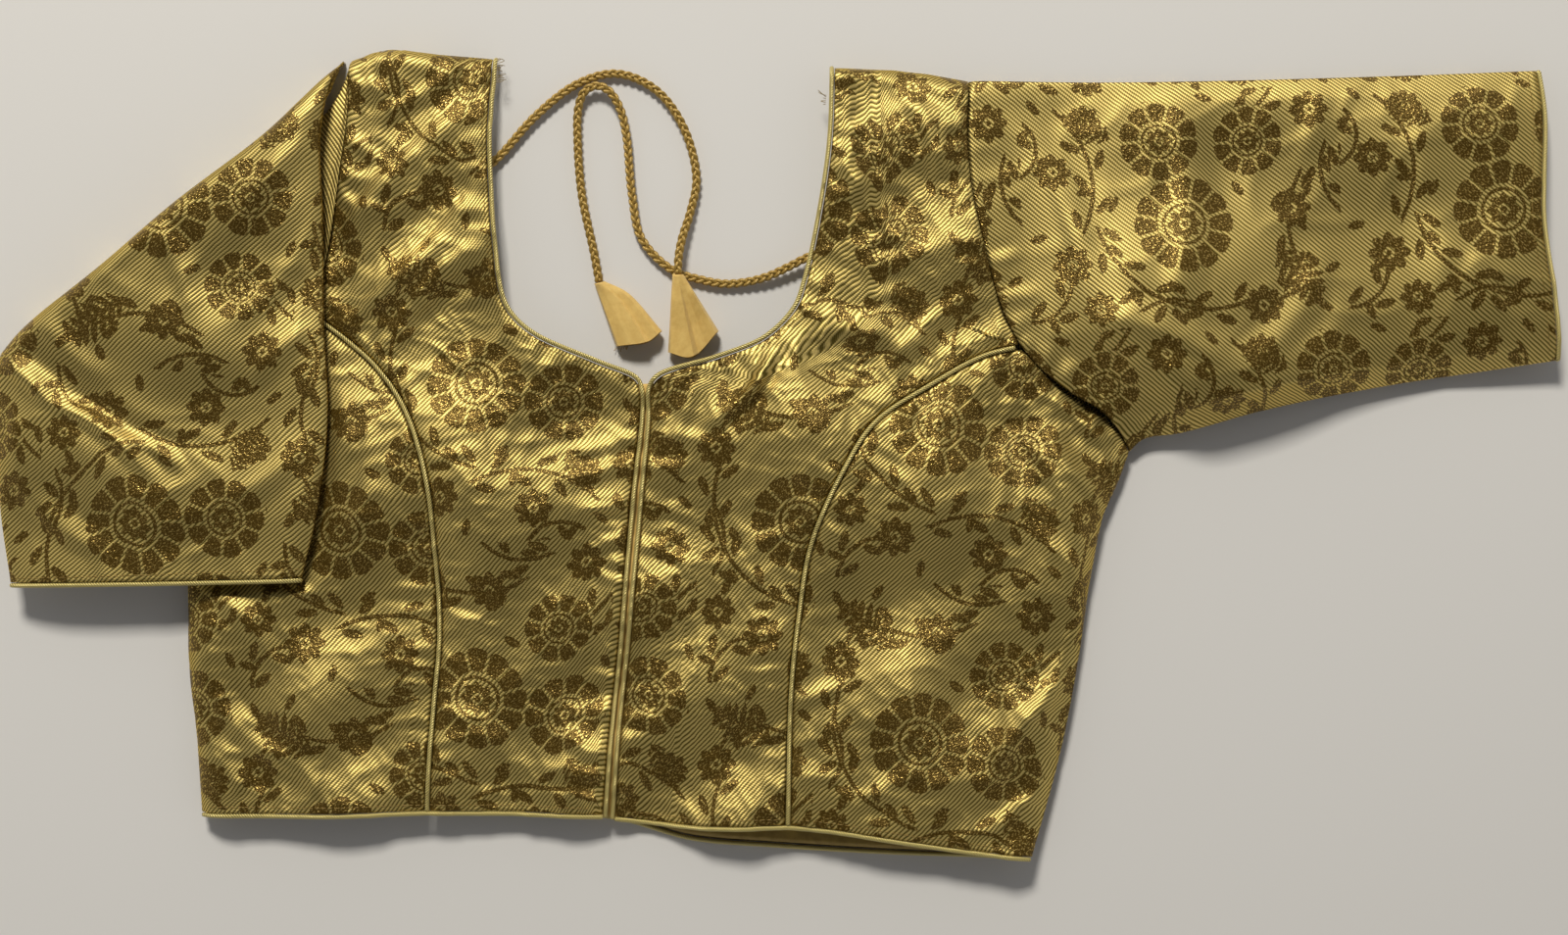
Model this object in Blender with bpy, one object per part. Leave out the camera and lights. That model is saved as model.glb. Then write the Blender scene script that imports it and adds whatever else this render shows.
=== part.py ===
"""Choli blouse in gold brocade, laid flat with its front up and one sleeve folded over the bodice.

Blender works in metres. The cutting tables are in millimetres, x to the right and y up the body as
the spread blouse is seen from above. Left and right are as seen from above too. The blouse lies on
the plane z = 0. Its layers are stacked on each other: back panel, fronts, then the folded sleeve.
"""
import math

import bmesh
import bpy
import numpy as np

MM = 0.001

# Driving dimensions, in millimetres
CLOTH = 1.3            # brocade and its lining, sewn together
BACK_CLOTH = 1.2
SLEEVE_CLOTH = 1.2
PLAIN_CLOTH = 1.0      # placket and hem facing
GAP = 0.3              # air between pieces that are sewn or lie together
PIPING = 2.2           # diameter of the corded piping
DORI = 4.4             # diameter of the twisted tie cords
BULK = 6.6             # height of the fronts over the back, from the seam turnings inside
SIDE_ROUND = 13.0      # width over which a front rounds down to its side seam
SHOULDER_ROUND = 7.0
LIFT_WIDTH = 34.0      # width over which the back panel lifts to its side seam
SLEEVE_EDGE = 3.1      # half height of the spread sleeve along its two folds
FLAP_HEIGHT = 9.2      # height of the folded sleeve's two layers
FLAP_SLOPE = 0.03      # drop of the folded sleeve for each millimetre past the bodice's side
FOLD_RIM = 9.0         # width of the rounded rim where the left sleeve turns over
TURN_START = 0.28      # share of its height with which that rim starts at the turn
CENTRE = (0.977, -0.314)  # middle of the spread blouse's box in the tables' x and y
SEAM = PIPING / 2 + GAP

# Places along the two parts of an armhole, closer together at the sleeve's two folds
ARMHOLE_UPPER_PARTS = (0.0, 0.05, 0.15, 0.3, 0.5, 0.75, 1.0)
ARMHOLE_LOWER_PARTS = (0.0, 0.27, 0.53, 0.75, 0.92, 1.0)
# Number of steps along and across each panel
ARMHOLE_STEPS = len(ARMHOLE_UPPER_PARTS) - 1
ACROSS_STEPS = len(ARMHOLE_LOWER_PARTS) - 1
PRINCESS_STEPS = 18
NOTCH_STEP = 11        # the step along a neck edge that falls on the corner of its notch
NOTCH_TURN = 0.014     # part of a neck edge over which that corner turns

# Outlines and seams: (x, y) of the points that shape them
SHOULDER_LEFT = ((-205.2, 189.4), (-191.5, 194.1), (-179.8, 194.6), (-163.3, 192.4), (-135.8, 190.2))
SHOULDER_RIGHT = ((26.1, 186.1), (55.7, 184.9), (72.6, 183.0), (91.9, 179.5))
ARMHOLE_LEFT_UPPER = ((-205.2, 189.4), (-206.6, 158.9), (-209.4, 137.7), (-212.2, 116.6),
                      (-215.5, 97.0), (-223.5, 67.0))
ARMHOLE_LEFT_LOWER = ((-223.5, 67.0), (-231.0, 54.0), (-241.0, 43.0), (-256.0, 31.0), (-296.0, 6.0))
ARMHOLE_RIGHT_UPPER = ((91.9, 179.5), (90.6, 158.0), (93.3, 125.0), (99.2, 97.3), (108.3, 66.9),
                       (116.3, 51.2))
ARMHOLE_RIGHT_LOWER = ((116.3, 51.2), (125.5, 40.6), (141.2, 28.2), (154.5, 20.5), (163.8, 10.3),
                       (169.0, 0.9))
PRINCESS_LEFT = ((-223.5, 67.0), (-205.2, 53.1), (-191.5, 40.4), (-176.5, 17.9), (-167.3, -12.2),
                 (-164.0, -47.5), (-162.2, -88.0), (-164.7, -120.0), (-168.0, -172.3))
PRINCESS_RIGHT = ((116.3, 51.2), (99.2, 47.1), (72.6, 32.6), (46.3, 14.8), (31.7, -7.1), (16.2, -43.0),
                  (10.0, -79.3), (6.6, -112.3), (4.9, -179.0))
NECK_LEFT = ((-135.8, 190.2), (-137.9, 149.5), (-135.8, 109.0), (-131.1, 74.0), (-125.0, 64.6),
             (-114.4, 56.4), (-85.8, 44.2), (-67.6, 36.4), (-65.0, 31.0), (-65.0, 17.0),
             (-68.9, -19.7), (-74.5, -85.9), (-78.2, -120.0), (-82.7, -174.3))
NECK_RIGHT = ((26.1, 186.1), (24.7, 149.5), (18.6, 109.0), (12.5, 82.3), (7.8, 70.0), (-6.3, 55.9),
              (-29.4, 46.5), (-57.1, 37.6), (-61.6, 31.6), (-61.9, 17.0), (-65.3, -19.7),
              (-71.2, -85.9), (-75.0, -120.0), (-79.4, -175.3))
SIDE_LEFT = ((-296.0, 6.0), (-286.5, -40.0), (-284.0, -62.5), (-283.2, -101.5), (-279.4, -137.7),
             (-277.0, -173.4))
SIDE_RIGHT = ((169.0, 0.9), (163.3, -14.3), (156.3, -30.1), (149.7, -63.3), (144.7, -97.8),
              (135.4, -145.2), (121.5, -194.2))
HEM_LEFT_SIDE = ((-277.0, -173.4), (-220.2, -173.4), (-168.0, -172.3))
HEM_LEFT_CENTRE = ((-168.0, -172.3), (-125.0, -172.8), (-82.7, -174.3))
HEM_RIGHT_CENTRE = ((-79.4, -175.3), (-63.4, -177.5), (-43.9, -179.0), (4.9, -179.0))
HEM_RIGHT_SIDE = ((4.9, -179.0), (28.9, -181.2), (74.0, -188.0), (121.5, -194.2))
HEM_BACK = ((-277.0, -173.4), (-168.0, -171.8), (-110.0, -172.5), (-75.0, -176.5), (-41.6, -185.7),
            (-1.2, -189.2), (59.0, -192.7), (121.5, -194.2))
NECK_BACK = ((-139.8, 183.0), (-142.0, 150.0), (-141.0, 105.0), (-136.0, 70.0), (-112.0, 30.0),
             (-62.0, 12.0), (-12.0, 28.0), (18.0, 66.0), (26.5, 105.0), (29.5, 150.0), (30.4, 179.0))

# Right sleeve, spread out: its upper fold, its hem and its lower fold
SLEEVE_RIGHT_TOP = ((91.9, 179.5), (154.9, 179.0), (222.1, 180.0), (308.6, 182.5), (365.4, 184.6))
SLEEVE_RIGHT_HEM = ((365.4, 184.6), (366.4, 160.5), (364.0, 112.5), (368.7, 76.1), (372.4, 44.5))
SLEEVE_RIGHT_BOTTOM = ((169.0, 0.9), (176.0, 7.0), (193.4, 9.9), (231.7, 20.4), (289.3, 32.0),
                       (346.6, 40.6), (372.4, 44.5))
# Sections along it: part of the length, height of the upper fold, of the lower fold, and bulge
SLEEVE_RIGHT_SECTIONS = (
    (0.00, 3.1, 5.5, 2.0),
    (0.18, 3.1, 11.5, 2.5),
    (0.45, 3.1, 6.0, 3.5),
    (0.75, 3.1, 4.5, 3.0),
    (1.00, 3.4, 10.0, 2.5),
)
SLEEVE_SAG = 6.0       # depth by which its lower layer hangs under its folds

# Left sleeve: the diagonal turn, then the edges and hem of the part folded over the bodice
TURN_LEFT = ((-212.5, 187.0), (-217.8, 178.1), (-245.6, 154.6), (-288.8, 121.3), (-322.7, 92.6),
             (-362.1, 61.6), (-372.4, 51.0))
FLAP_RIGHT_EDGE = ((-212.5, 187.0), (-217.8, 150.4), (-216.9, 117.0), (-216.2, 63.0), (-214.3, 15.0),
                   (-219.3, -27.3), (-226.8, -59.0))
FLAP_LEFT_EDGE = ((-372.4, 51.0), (-372.9, 20.0), (-371.6, -25.0), (-366.4, -61.5))
FLAP_HEM = ((-226.8, -59.0), (-290.0, -60.4), (-366.4, -61.5))
# The part of it that stays on the table, from the armhole to just inside the turn
UNDER_TOP_EDGE = ((-205.2, 189.4), (-211.5, 168.5))
UNDER_TURN = ((-211.5, 168.5), (-252.5, 128.5), (-314.0, 77.5), (-346.0, 47.0))
UNDER_BOTTOM_EDGE = ((-296.0, 6.0), (-322.0, 28.0), (-346.0, 47.0))
UNDER_CLEAR = 1.5      # air between its top and the part folded over it
NOTCH_LEFT = (-66.2, 33.6)
NOTCH_RIGHT = (-59.6, 34.6)

# Soft heights of the fronts: place, reach in x and y, height
FRONT_PADS = (
    ("left bust", -150.0, -8.0, 62.0, 62.0, 5.5),
    ("right bust", 45.0, -8.0, 66.0, 66.0, 6.0),
    ("right underarm", 135.0, -20.0, 42.0, 46.0, 2.5),
    ("right hem", 78.0, -188.0, 62.0, 52.0, 5.5),
    ("left strap", -168.0, 140.0, 40.0, 46.0, 1.0),
    ("right strap", 52.0, 105.0, 40.0, 50.0, 2.5),
    ("front opening", -72.0, -70.0, 22.0, 90.0, -1.6),
)
# Largest folds of the fronts: from, to, half width and height, negative for a trough
FRONT_FOLDS = (
    ("left shoulder ridge", -142.0, 172.0, -206.0, 108.0, 12.0, 1.8),
    ("left shoulder trough", -140.0, 150.0, -200.0, 84.0, 12.0, -1.6),
    ("left chest ridge", -138.0, 118.0, -205.0, 62.0, 13.0, 1.5),
    ("right neck fold", -10.0, 40.0, -36.0, 4.0, 12.0, 1.4),
    ("right chest trough", 30.0, 92.0, 92.0, 60.0, 14.0, -1.4),
    ("right underarm fold", 118.0, 22.0, 150.0, -22.0, 11.0, 1.6),
    ("right waist fold", 140.0, -104.0, 98.0, -158.0, 13.0, 2.2),
    ("left waist fold", -262.0, -98.0, -214.0, -146.0, 13.0, 1.4),
)
# Lifts of the back panel: place, reach and height
BACK_LIFTS = (
    ("right hem corner", 121.0, -194.0, 46.0, 5.0),
    ("right cord", 27.0, 96.0, 22.0, 3.0),
)
SIDE_LIFT_LEFT = 2.0
SIDE_LIFT_RIGHT = 3.6
# Folds on the folded sleeve
FLAP_FOLDS = (
    ("long ridge", -366.0, 42.0, -296.0, -26.0, 13.0, 2.2),
    ("ridge from the turn", -300.0, 92.0, -250.0, 20.0, 16.0, 1.2),
    ("hollow by the hem", -345.0, -22.0, -290.0, -40.0, 14.0, -1.2),
)

# Tie cords from the back neck: x, y and height of the middle of the cord
DORI_LEFT = ((-139.3, 138.8, 2.3), (-132.3, 145.7, 2.3), (-116.8, 163.1, 2.3), (-96.6, 178.6, 2.3),
             (-77.8, 183.5, 2.3), (-59.0, 175.8, 2.3), (-45.4, 157.5, 2.3), (-39.2, 133.0, 2.35),
             (-42.1, 116.5, 3.2), (-46.0, 103.5, 5.2), (-47.6, 94.0, 6.9), (-47.9, 86.8, 7.1))
DORI_RIGHT = ((24.0, 97.5, 5.2), (15.1, 94.9, 5.1), (5.6, 90.2, 4.4), (-4.9, 85.5, 3.4),
              (-15.3, 82.9, 2.5), (-25.8, 82.1, 2.3), (-36.4, 83.9, 2.3), (-51.0, 88.8, 2.3),
              (-65.7, 103.9, 2.3), (-70.4, 126.0, 2.3), (-73.1, 154.3, 2.4), (-76.2, 166.9, 3.2),
              (-81.5, 175.0, 4.2), (-87.2, 177.3, 4.4), (-93.0, 174.6, 3.9), (-96.1, 167.0, 2.8),
              (-96.6, 152.3, 2.3), (-94.5, 125.0, 2.3), (-88.8, 97.8, 2.3), (-86.2, 83.3, 2.3))
# Cloth cones at their ends: neck, two edges and mouth
LATKAN_LEFT = {
    "neck": ((-88.6, 82.4), (-83.6, 83.4)),
    "first edge": ((-88.6, 82.4), (-77.8, 51.7)),
    "second edge": ((-83.6, 83.4), (-72.1, 77.6), (-55.7, 59.2)),
    "mouth": ((-77.8, 51.7), (-62.3, 54.0), (-55.7, 59.2)),
    "under": (0.0, 0.0, 0.0, 0.0),
    "height": (4.6, 6.5, 8.5, 9.5),
}
LATKAN_RIGHT = {
    "neck": ((-50.6, 86.4), (-45.4, 86.4)),
    "first edge": ((-50.6, 86.4), (-52.9, 48.9)),
    "second edge": ((-45.4, 86.4), (-28.4, 59.2)),
    "mouth": ((-52.9, 48.9), (-41.4, 46.5), (-28.4, 59.2)),
    "under": (4.8, 4.2, 0.6, 0.0),
    "height": (4.6, 6.0, 9.0, 10.0),
}
LATKAN_WALL = 1.0

# Principled materials: colour, roughness, metallic
FINISHES = {
    "gold brocade": ((0.36, 0.27, 0.09, 1.0), 0.42, 0.35),
    "brocade back": ((0.33, 0.25, 0.09, 1.0), 0.5, 0.25),
    "greenish gold piping": ((0.48, 0.42, 0.18, 1.0), 0.38, 0.4),
    "plain gold lining": ((0.40, 0.27, 0.06, 1.0), 0.55, 0.1),
    "mustard gold cord": ((0.50, 0.33, 0.08, 1.0), 0.45, 0.2),
    "pale yellow cloth": ((0.75, 0.52, 0.16, 1.0), 0.6, 0.0),
}


def clear_scene():
    """Start from an empty scene."""
    for item in list(bpy.data.objects):
        bpy.data.objects.remove(item, do_unlink=True)


def finish(name):
    """Return the named material, made once."""
    material = bpy.data.materials.get(name)
    if material:
        return material
    colour, roughness, metallic = FINISHES[name]
    material = bpy.data.materials.new(name)
    material.use_nodes = True
    shader = material.node_tree.nodes["Principled BSDF"]
    shader.inputs["Base Color"].default_value = colour
    shader.inputs["Roughness"].default_value = roughness
    shader.inputs["Metallic"].default_value = metallic
    material.diffuse_color = colour
    return material


def smooth_line(points, parts):
    """Points at the given parts of the length of a smooth curve through the given points."""
    points = np.array(points, float)
    if len(points) == 2:
        dense = points[0] + (points[1] - points[0]) * np.linspace(0, 1, 33)[:, None]
    else:
        ends = np.vstack([2 * points[0] - points[1], points, 2 * points[-1] - points[-2]])
        knots = np.r_[0, np.cumsum(np.sqrt(np.linalg.norm(np.diff(ends, axis=0), axis=1)))]
        pieces = []
        for i in range(1, len(ends) - 2):
            span = knots[i + 1] - knots[i]
            leg = [(ends[j + 1] - ends[j]) / (knots[j + 1] - knots[j]) for j in (i - 1, i, i + 1)]
            wide = [(ends[j + 2] - ends[j]) / (knots[j + 2] - knots[j]) for j in (i - 1, i)]
            start = (leg[0] - wide[0] + leg[1]) * span
            end = (leg[1] - wide[1] + leg[2]) * span
            t = np.linspace(0, 1, 24, endpoint=False)[:, None]
            pieces.append((2 * t**3 - 3 * t**2 + 1) * ends[i] + (t**3 - 2 * t**2 + t) * start
                          + (3 * t**2 - 2 * t**3) * ends[i + 1] + (t**3 - t**2) * end)
        dense = np.vstack(pieces + [points[-1:]])
    run = np.r_[0, np.cumsum(np.linalg.norm(np.diff(dense, axis=0), axis=1))]
    steps = np.asarray(parts) * run[-1]
    return np.column_stack([np.interp(steps, run, dense[:, k]) for k in range(dense.shape[1])])


def even(points, steps):
    """A smooth line in even steps."""
    return smooth_line(points, np.linspace(0, 1, steps + 1))


def notched(points, corner):
    """A neck edge in nearly even steps, three of them round the corner of its notch."""
    dense = even(points, 400)
    notch = np.argmin(np.hypot(*(dense - corner).T)) / 400
    steps = ARMHOLE_STEPS + PRINCESS_STEPS
    before = np.linspace(0, notch - NOTCH_TURN, NOTCH_STEP)
    after = np.linspace(notch + NOTCH_TURN, 1, steps - NOTCH_STEP)
    return smooth_line(points, np.r_[before, notch, after])


def join_lines(*lines):
    """Lines end to end, each joint's point kept once."""
    return np.vstack([lines[0]] + [line[1:] for line in lines[1:]])


def coons(top, bottom, left, right):
    """Grid between four edges: rows from top to bottom, columns from left to right."""
    v = np.linspace(0, 1, len(left))[:, None, None]
    u = np.linspace(0, 1, len(top))[None, :, None]
    rows = (1 - v) * top[None] + v * bottom[None]
    columns = (1 - u) * left[:, None] + u * right[:, None]
    corners = ((1 - v) * ((1 - u) * top[0] + u * top[-1])
               + v * ((1 - u) * bottom[0] + u * bottom[-1]))
    return rows + columns - corners


def sideways(line, amount):
    """Moves that shift each step of a line to its left by an amount, one number or one a step."""
    along = np.diff(line, axis=0)
    along /= np.linalg.norm(along, axis=1)[:, None]
    across = np.column_stack([-along[:, 1], along[:, 0]])
    amount = np.broadcast_to(amount, len(across)).astype(float)
    moves = np.empty_like(line)
    moves[0] = across[0] * amount[0]
    moves[-1] = across[-1] * amount[-1]
    for i in range(1, len(line) - 1):
        turn = np.array([across[i - 1], across[i]])
        if abs(np.linalg.det(turn)) > 0.02:
            moves[i] = np.linalg.solve(turn, amount[i - 1:i + 1])
        else:
            moves[i] = across[i] * max(amount[i - 1:i + 1])
    return moves


def inset(grid, top=GAP / 2, bottom=GAP / 2, left=GAP / 2, right=GAP / 2):
    """Draw a grid's four edges in by the given amounts, one number or one a step."""
    moved = grid.copy()
    moved[0] -= sideways(grid[0], top)
    moved[-1] += sideways(grid[-1], bottom)
    moved[:, 0] += sideways(grid[:, 0], left)
    moved[:, -1] -= sideways(grid[:, -1], right)
    return moved


def ease(low, high, value):
    """Smooth step from 0 at low to 1 at high."""
    t = np.clip((value - low) / (high - low), 0, 1)
    return t * t * (3 - 2 * t)


def distance(x, y, line):
    """Distance in plan from points to a line."""
    nearest = np.full(np.shape(x), np.inf)
    for (ax, ay), (bx, by) in zip(line, line[1:]):
        along = ((x - ax) * (bx - ax) + (y - ay) * (by - ay)) / ((bx - ax) ** 2 + (by - ay) ** 2)
        along = np.clip(along, 0, 1)
        nearest = np.minimum(nearest, np.hypot(x - ax - along * (bx - ax), y - ay - along * (by - ay)))
    return nearest


def pads(x, y, table):
    """Sum of soft round heights."""
    total = 0.0
    for _, px, py, reach_x, reach_y, height in table:
        total = total + height * np.exp(-((x - px) / reach_x) ** 2 - ((y - py) / reach_y) ** 2)
    return total


def folds(x, y, table):
    """Sum of soft ridges and troughs, each fading towards its two ends."""
    total = 0.0
    for _, ax, ay, bx, by, half_width, height in table:
        along = ((x - ax) * (bx - ax) + (y - ay) * (by - ay)) / ((bx - ax) ** 2 + (by - ay) ** 2)
        t = np.clip(along, 0, 1)
        aside = np.hypot(x - ax - t * (bx - ax), y - ay - t * (by - ay))
        total = total + height * np.exp(-(aside / half_width) ** 2) * np.sin(math.pi * (0.15 + 0.7 * t))
    return total


def back_lift(x, y):
    """Height of the back panel's underside over the plane: 0 but for its side seams and corner."""
    total = 0.0
    for line, height in ((SIDE_LEFT, SIDE_LIFT_LEFT), (SIDE_RIGHT, SIDE_LIFT_RIGHT)):
        total = total + height * np.clip(1 - distance(x, y, line) / LIFT_WIDTH, 0, 1) ** 2
    for _, px, py, reach, height in BACK_LIFTS:
        total = total + height * np.clip(1 - np.hypot(x - px, y - py) / reach, 0, 1) ** 2
    return total


def front_full(x, y):
    """Height of the fronts' underside away from their side and shoulder seams."""
    return BACK_CLOTH + GAP + BULK + pads(x, y, FRONT_PADS) + folds(x, y, FRONT_FOLDS)


def front_under(x, y):
    """Height of the fronts' underside, rounded down to the back panel at the seams."""
    seat = BACK_CLOTH + GAP
    side = np.minimum(distance(x, y, SIDE_LEFT), distance(x, y, SIDE_RIGHT)) / SIDE_ROUND
    shoulder = np.minimum(distance(x, y, SHOULDER_LEFT), distance(x, y, SHOULDER_RIGHT)) / SHOULDER_ROUND
    near = np.clip(np.minimum(side, shoulder), 0, 1)
    rise = np.sqrt(1 - (1 - near) ** 2)
    return seat + back_lift(x, y) * (1 - rise) + rise * (front_full(x, y) - seat)


def new_object(name, mesh_or_curve, material):
    """Link an object of the given data, with its material."""
    item = bpy.data.objects.new(name, mesh_or_curve)
    item.data.materials.append(finish(material))
    bpy.context.collection.objects.link(item)
    return item


def solid(name, points, faces, material):
    """A closed mesh from points in millimetres, shaded smooth over its cloth faces."""
    shape = bmesh.new()
    for x, y, z in points:
        shape.verts.new(((x - CENTRE[0]) * MM, (y - CENTRE[1]) * MM, z * MM))
    shape.verts.ensure_lookup_table()
    for face in faces:
        shape.faces.new([shape.verts[i] for i in face])
    bmesh.ops.triangulate(shape, faces=shape.faces[:])
    bmesh.ops.recalc_face_normals(shape, faces=shape.faces[:])
    mesh = bpy.data.meshes.new(name)
    shape.to_mesh(mesh)
    shape.free()
    mesh.shade_smooth()
    mesh.set_sharp_from_angle(angle=math.radians(40))
    return new_object(name, mesh, material)


def cloth_panel(name, grid, under, thickness, material):
    """A panel of cloth on a plan grid: its underside, its face and the four cut edges."""
    rows, columns = grid.shape[:2]
    flat = grid.reshape(-1, 2)
    low = under(flat[:, 0], flat[:, 1]) + np.zeros(len(flat))
    points = np.vstack([np.column_stack([flat, low]), np.column_stack([flat, low + thickness])])
    size = len(flat)
    faces = []
    for r in range(rows - 1):
        for c in range(columns - 1):
            a = r * columns + c
            quad = (a, a + 1, a + 1 + columns, a + columns)
            faces += [quad, tuple(i + size for i in quad)]
    index = np.arange(size).reshape(rows, columns)
    rim = np.concatenate([index[0], index[1:, -1], index[-1, -2::-1], index[-2:0:-1, 0]])
    for a, b in zip(rim, np.roll(rim, -1)):
        faces.append((a, b, b + size, a + size))
    return solid(name, points, faces, material)


def parts_of(line):
    """The part of its length at which each point of a line lies."""
    run = np.r_[0, np.cumsum(np.linalg.norm(np.diff(line, axis=0), axis=1))]
    return run / run[-1]


def fullness_at(parts):
    """Share of a flattened tube's height across it: 0 at its two folds, 1 over its flat middle."""
    return np.minimum(1, 1.3 * (2 * np.sqrt(np.clip(parts * (1 - parts), 0, 1))) ** 0.7)


def flat_tube(name, grid, parts, top, bottom, wall, material, first_inner=0):
    """A flattened tube of cloth, open at its far end.

    The grid's rows are its sections, and its columns run from one fold to the other at the given
    parts of the way. Top and bottom are the heights of its two layers at the grid's points. Where
    first_inner is over 0 the tube is closed at its near end, and its hollow starts at that section.
    """
    sections, columns = top.shape
    fullness = fullness_at(parts)
    middle = (top + bottom) / 2
    inner_plan = grid + (grid[:, -1:] - grid[:, :1]) / np.linalg.norm(
        grid[:, -1:] - grid[:, :1], axis=2, keepdims=True) * (wall * (1 - 2 * parts))[None, :, None]

    def ring(plan, row, thin):
        over = middle[row] + (top[row] - thin - middle[row]) * fullness
        below = middle[row] - (middle[row] - bottom[row] - thin) * fullness
        upper = np.column_stack([plan[row], over])
        lower = np.column_stack([plan[row], below])[-2:0:-1]
        return np.vstack([upper, lower])

    outer = [ring(grid, row, 0.0) for row in range(sections)]
    inner = [ring(inner_plan, row, wall) for row in range(first_inner, sections)]
    points = np.vstack(outer + inner)
    count = 2 * (columns - 1)
    base = sections * count

    def skin(start, rings):
        return [(start + r * count + k, start + r * count + (k + 1) % count,
                 start + (r + 1) * count + (k + 1) % count, start + (r + 1) * count + k)
                for r in range(rings - 1) for k in range(count)]

    def lid(start):
        quads = [(start + k, start + k + 1, start + count - k - 1, start + count - k)
                 for k in range(1, count // 2 - 1)]
        ends = [(start, start + 1, start + count - 1),
                (start + count // 2 - 1, start + count // 2, start + count // 2 + 1)]
        return quads + ends

    def mouth(outer_start, inner_start):
        return [(outer_start + k, outer_start + (k + 1) % count,
                 inner_start + (k + 1) % count, inner_start + k) for k in range(count)]

    faces = skin(0, sections) + skin(base, sections - first_inner)
    faces += mouth((sections - 1) * count, base + (sections - first_inner - 1) * count)
    if first_inner:
        faces += lid(0) + lid(base)
    else:
        faces += mouth(0, base)
    return solid(name, points, faces, material)


def round_cord(name, line, diameter, material, sides=1, closed=False):
    """A round cord through points in millimetres."""
    curve = bpy.data.curves.new(name, "CURVE")
    curve.dimensions = "3D"
    curve.bevel_depth = diameter / 2 * MM
    curve.bevel_resolution = sides
    curve.use_fill_caps = not closed
    spline = curve.splines.new("POLY")
    spline.points.add(len(line) - 1)
    for point, (x, y, z) in zip(spline.points, line):
        point.co = ((x - CENTRE[0]) * MM, (y - CENTRE[1]) * MM, z * MM, 1.0)
    spline.use_cyclic_u = closed
    spline.use_smooth = True
    return new_object(name, curve, material)


def trimmed(line, start=0.0, end=0.0):
    """Move a line's end points in along their own last steps."""
    cut = line.copy()
    cut[0] += (line[1] - line[0]) / np.linalg.norm(line[1] - line[0]) * start
    cut[-1] += (line[-2] - line[-1]) / np.linalg.norm(line[-2] - line[-1]) * end
    return cut


def front_piping(name, line, start=0.0, end=0.0):
    """Piping along a seam or edge of the fronts, level with the middle of their cloth."""
    line = trimmed(line, start, end)
    height = front_under(line[:, 0], line[:, 1]) + CLOTH / 2
    round_cord(name, np.column_stack([line, height]), PIPING, "greenish gold piping")


def seam_lines():
    """The seams that two panels and a piping share, all in the same steps."""
    return {
        "princess left": even(PRINCESS_LEFT, PRINCESS_STEPS),
        "princess right": even(PRINCESS_RIGHT, PRINCESS_STEPS),
        "neck left": notched(NECK_LEFT, NOTCH_LEFT),
        "neck right": notched(NECK_RIGHT, NOTCH_RIGHT),
        "armhole left upper": smooth_line(ARMHOLE_LEFT_UPPER, ARMHOLE_UPPER_PARTS),
        "armhole left lower": smooth_line(ARMHOLE_LEFT_LOWER, ARMHOLE_LOWER_PARTS),
        "armhole right upper": smooth_line(ARMHOLE_RIGHT_UPPER, ARMHOLE_UPPER_PARTS),
        "armhole right lower": smooth_line(ARMHOLE_RIGHT_LOWER, ARMHOLE_LOWER_PARTS),
        "side left": even(SIDE_LEFT, PRINCESS_STEPS),
        "side right": even(SIDE_RIGHT, PRINCESS_STEPS),
        "shoulder left": even(SHOULDER_LEFT, ACROSS_STEPS),
        "shoulder right": even(SHOULDER_RIGHT, ACROSS_STEPS),
        "hem left side": even(HEM_LEFT_SIDE, ACROSS_STEPS),
        "hem left centre": even(HEM_LEFT_CENTRE, ACROSS_STEPS),
        "hem right centre": even(HEM_RIGHT_CENTRE, ACROSS_STEPS),
        "hem right side": even(HEM_RIGHT_SIDE, ACROSS_STEPS),
    }


def make_fronts(seam):
    """Four front panels, two on each side of the opening, with the princess seams between."""
    outer_gaps = np.r_[np.full(ARMHOLE_STEPS, GAP / 2), np.full(PRINCESS_STEPS, SEAM)]
    centre_left = coons(seam["shoulder left"], seam["hem left centre"],
                        join_lines(seam["armhole left upper"], seam["princess left"]),
                        seam["neck left"])
    cloth_panel("front_left_centre", inset(centre_left, bottom=SEAM, left=outer_gaps, right=SEAM),
                front_under, CLOTH, "gold brocade")
    centre_right = coons(seam["shoulder right"], seam["hem right centre"], seam["neck right"],
                         join_lines(seam["armhole right upper"], seam["princess right"]))
    cloth_panel("front_right_centre", inset(centre_right, bottom=SEAM, left=SEAM, right=outer_gaps),
                front_under, CLOTH, "gold brocade")
    side_left = coons(seam["armhole left lower"][::-1], seam["hem left side"], seam["side left"],
                      seam["princess left"])
    cloth_panel("front_left_side", inset(side_left, bottom=SEAM, left=0.0, right=SEAM),
                front_under, CLOTH, "gold brocade")
    side_right = coons(seam["armhole right lower"], seam["hem right side"], seam["princess right"],
                       seam["side right"])
    cloth_panel("front_right_side", inset(side_right, bottom=SEAM, left=SEAM, right=0.0),
                front_under, CLOTH, "gold brocade")


def make_front_pipings(seam):
    """Piping in the princess seams, round the neck, down the opening and along the hem."""
    clear = PIPING + 2 * GAP
    front_piping("piping_princess_left", seam["princess left"], start=clear, end=clear)
    front_piping("piping_princess_right", seam["princess right"], start=clear, end=clear)
    front_piping("piping_neck_left", seam["neck left"])
    front_piping("piping_neck_right", seam["neck right"])
    front_piping("piping_hem_left", join_lines(seam["hem left side"], seam["hem left centre"]),
                 start=1.0, end=clear)
    front_piping("piping_hem_right", join_lines(seam["hem right centre"], seam["hem right side"]),
                 start=clear, end=1.0)


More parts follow.
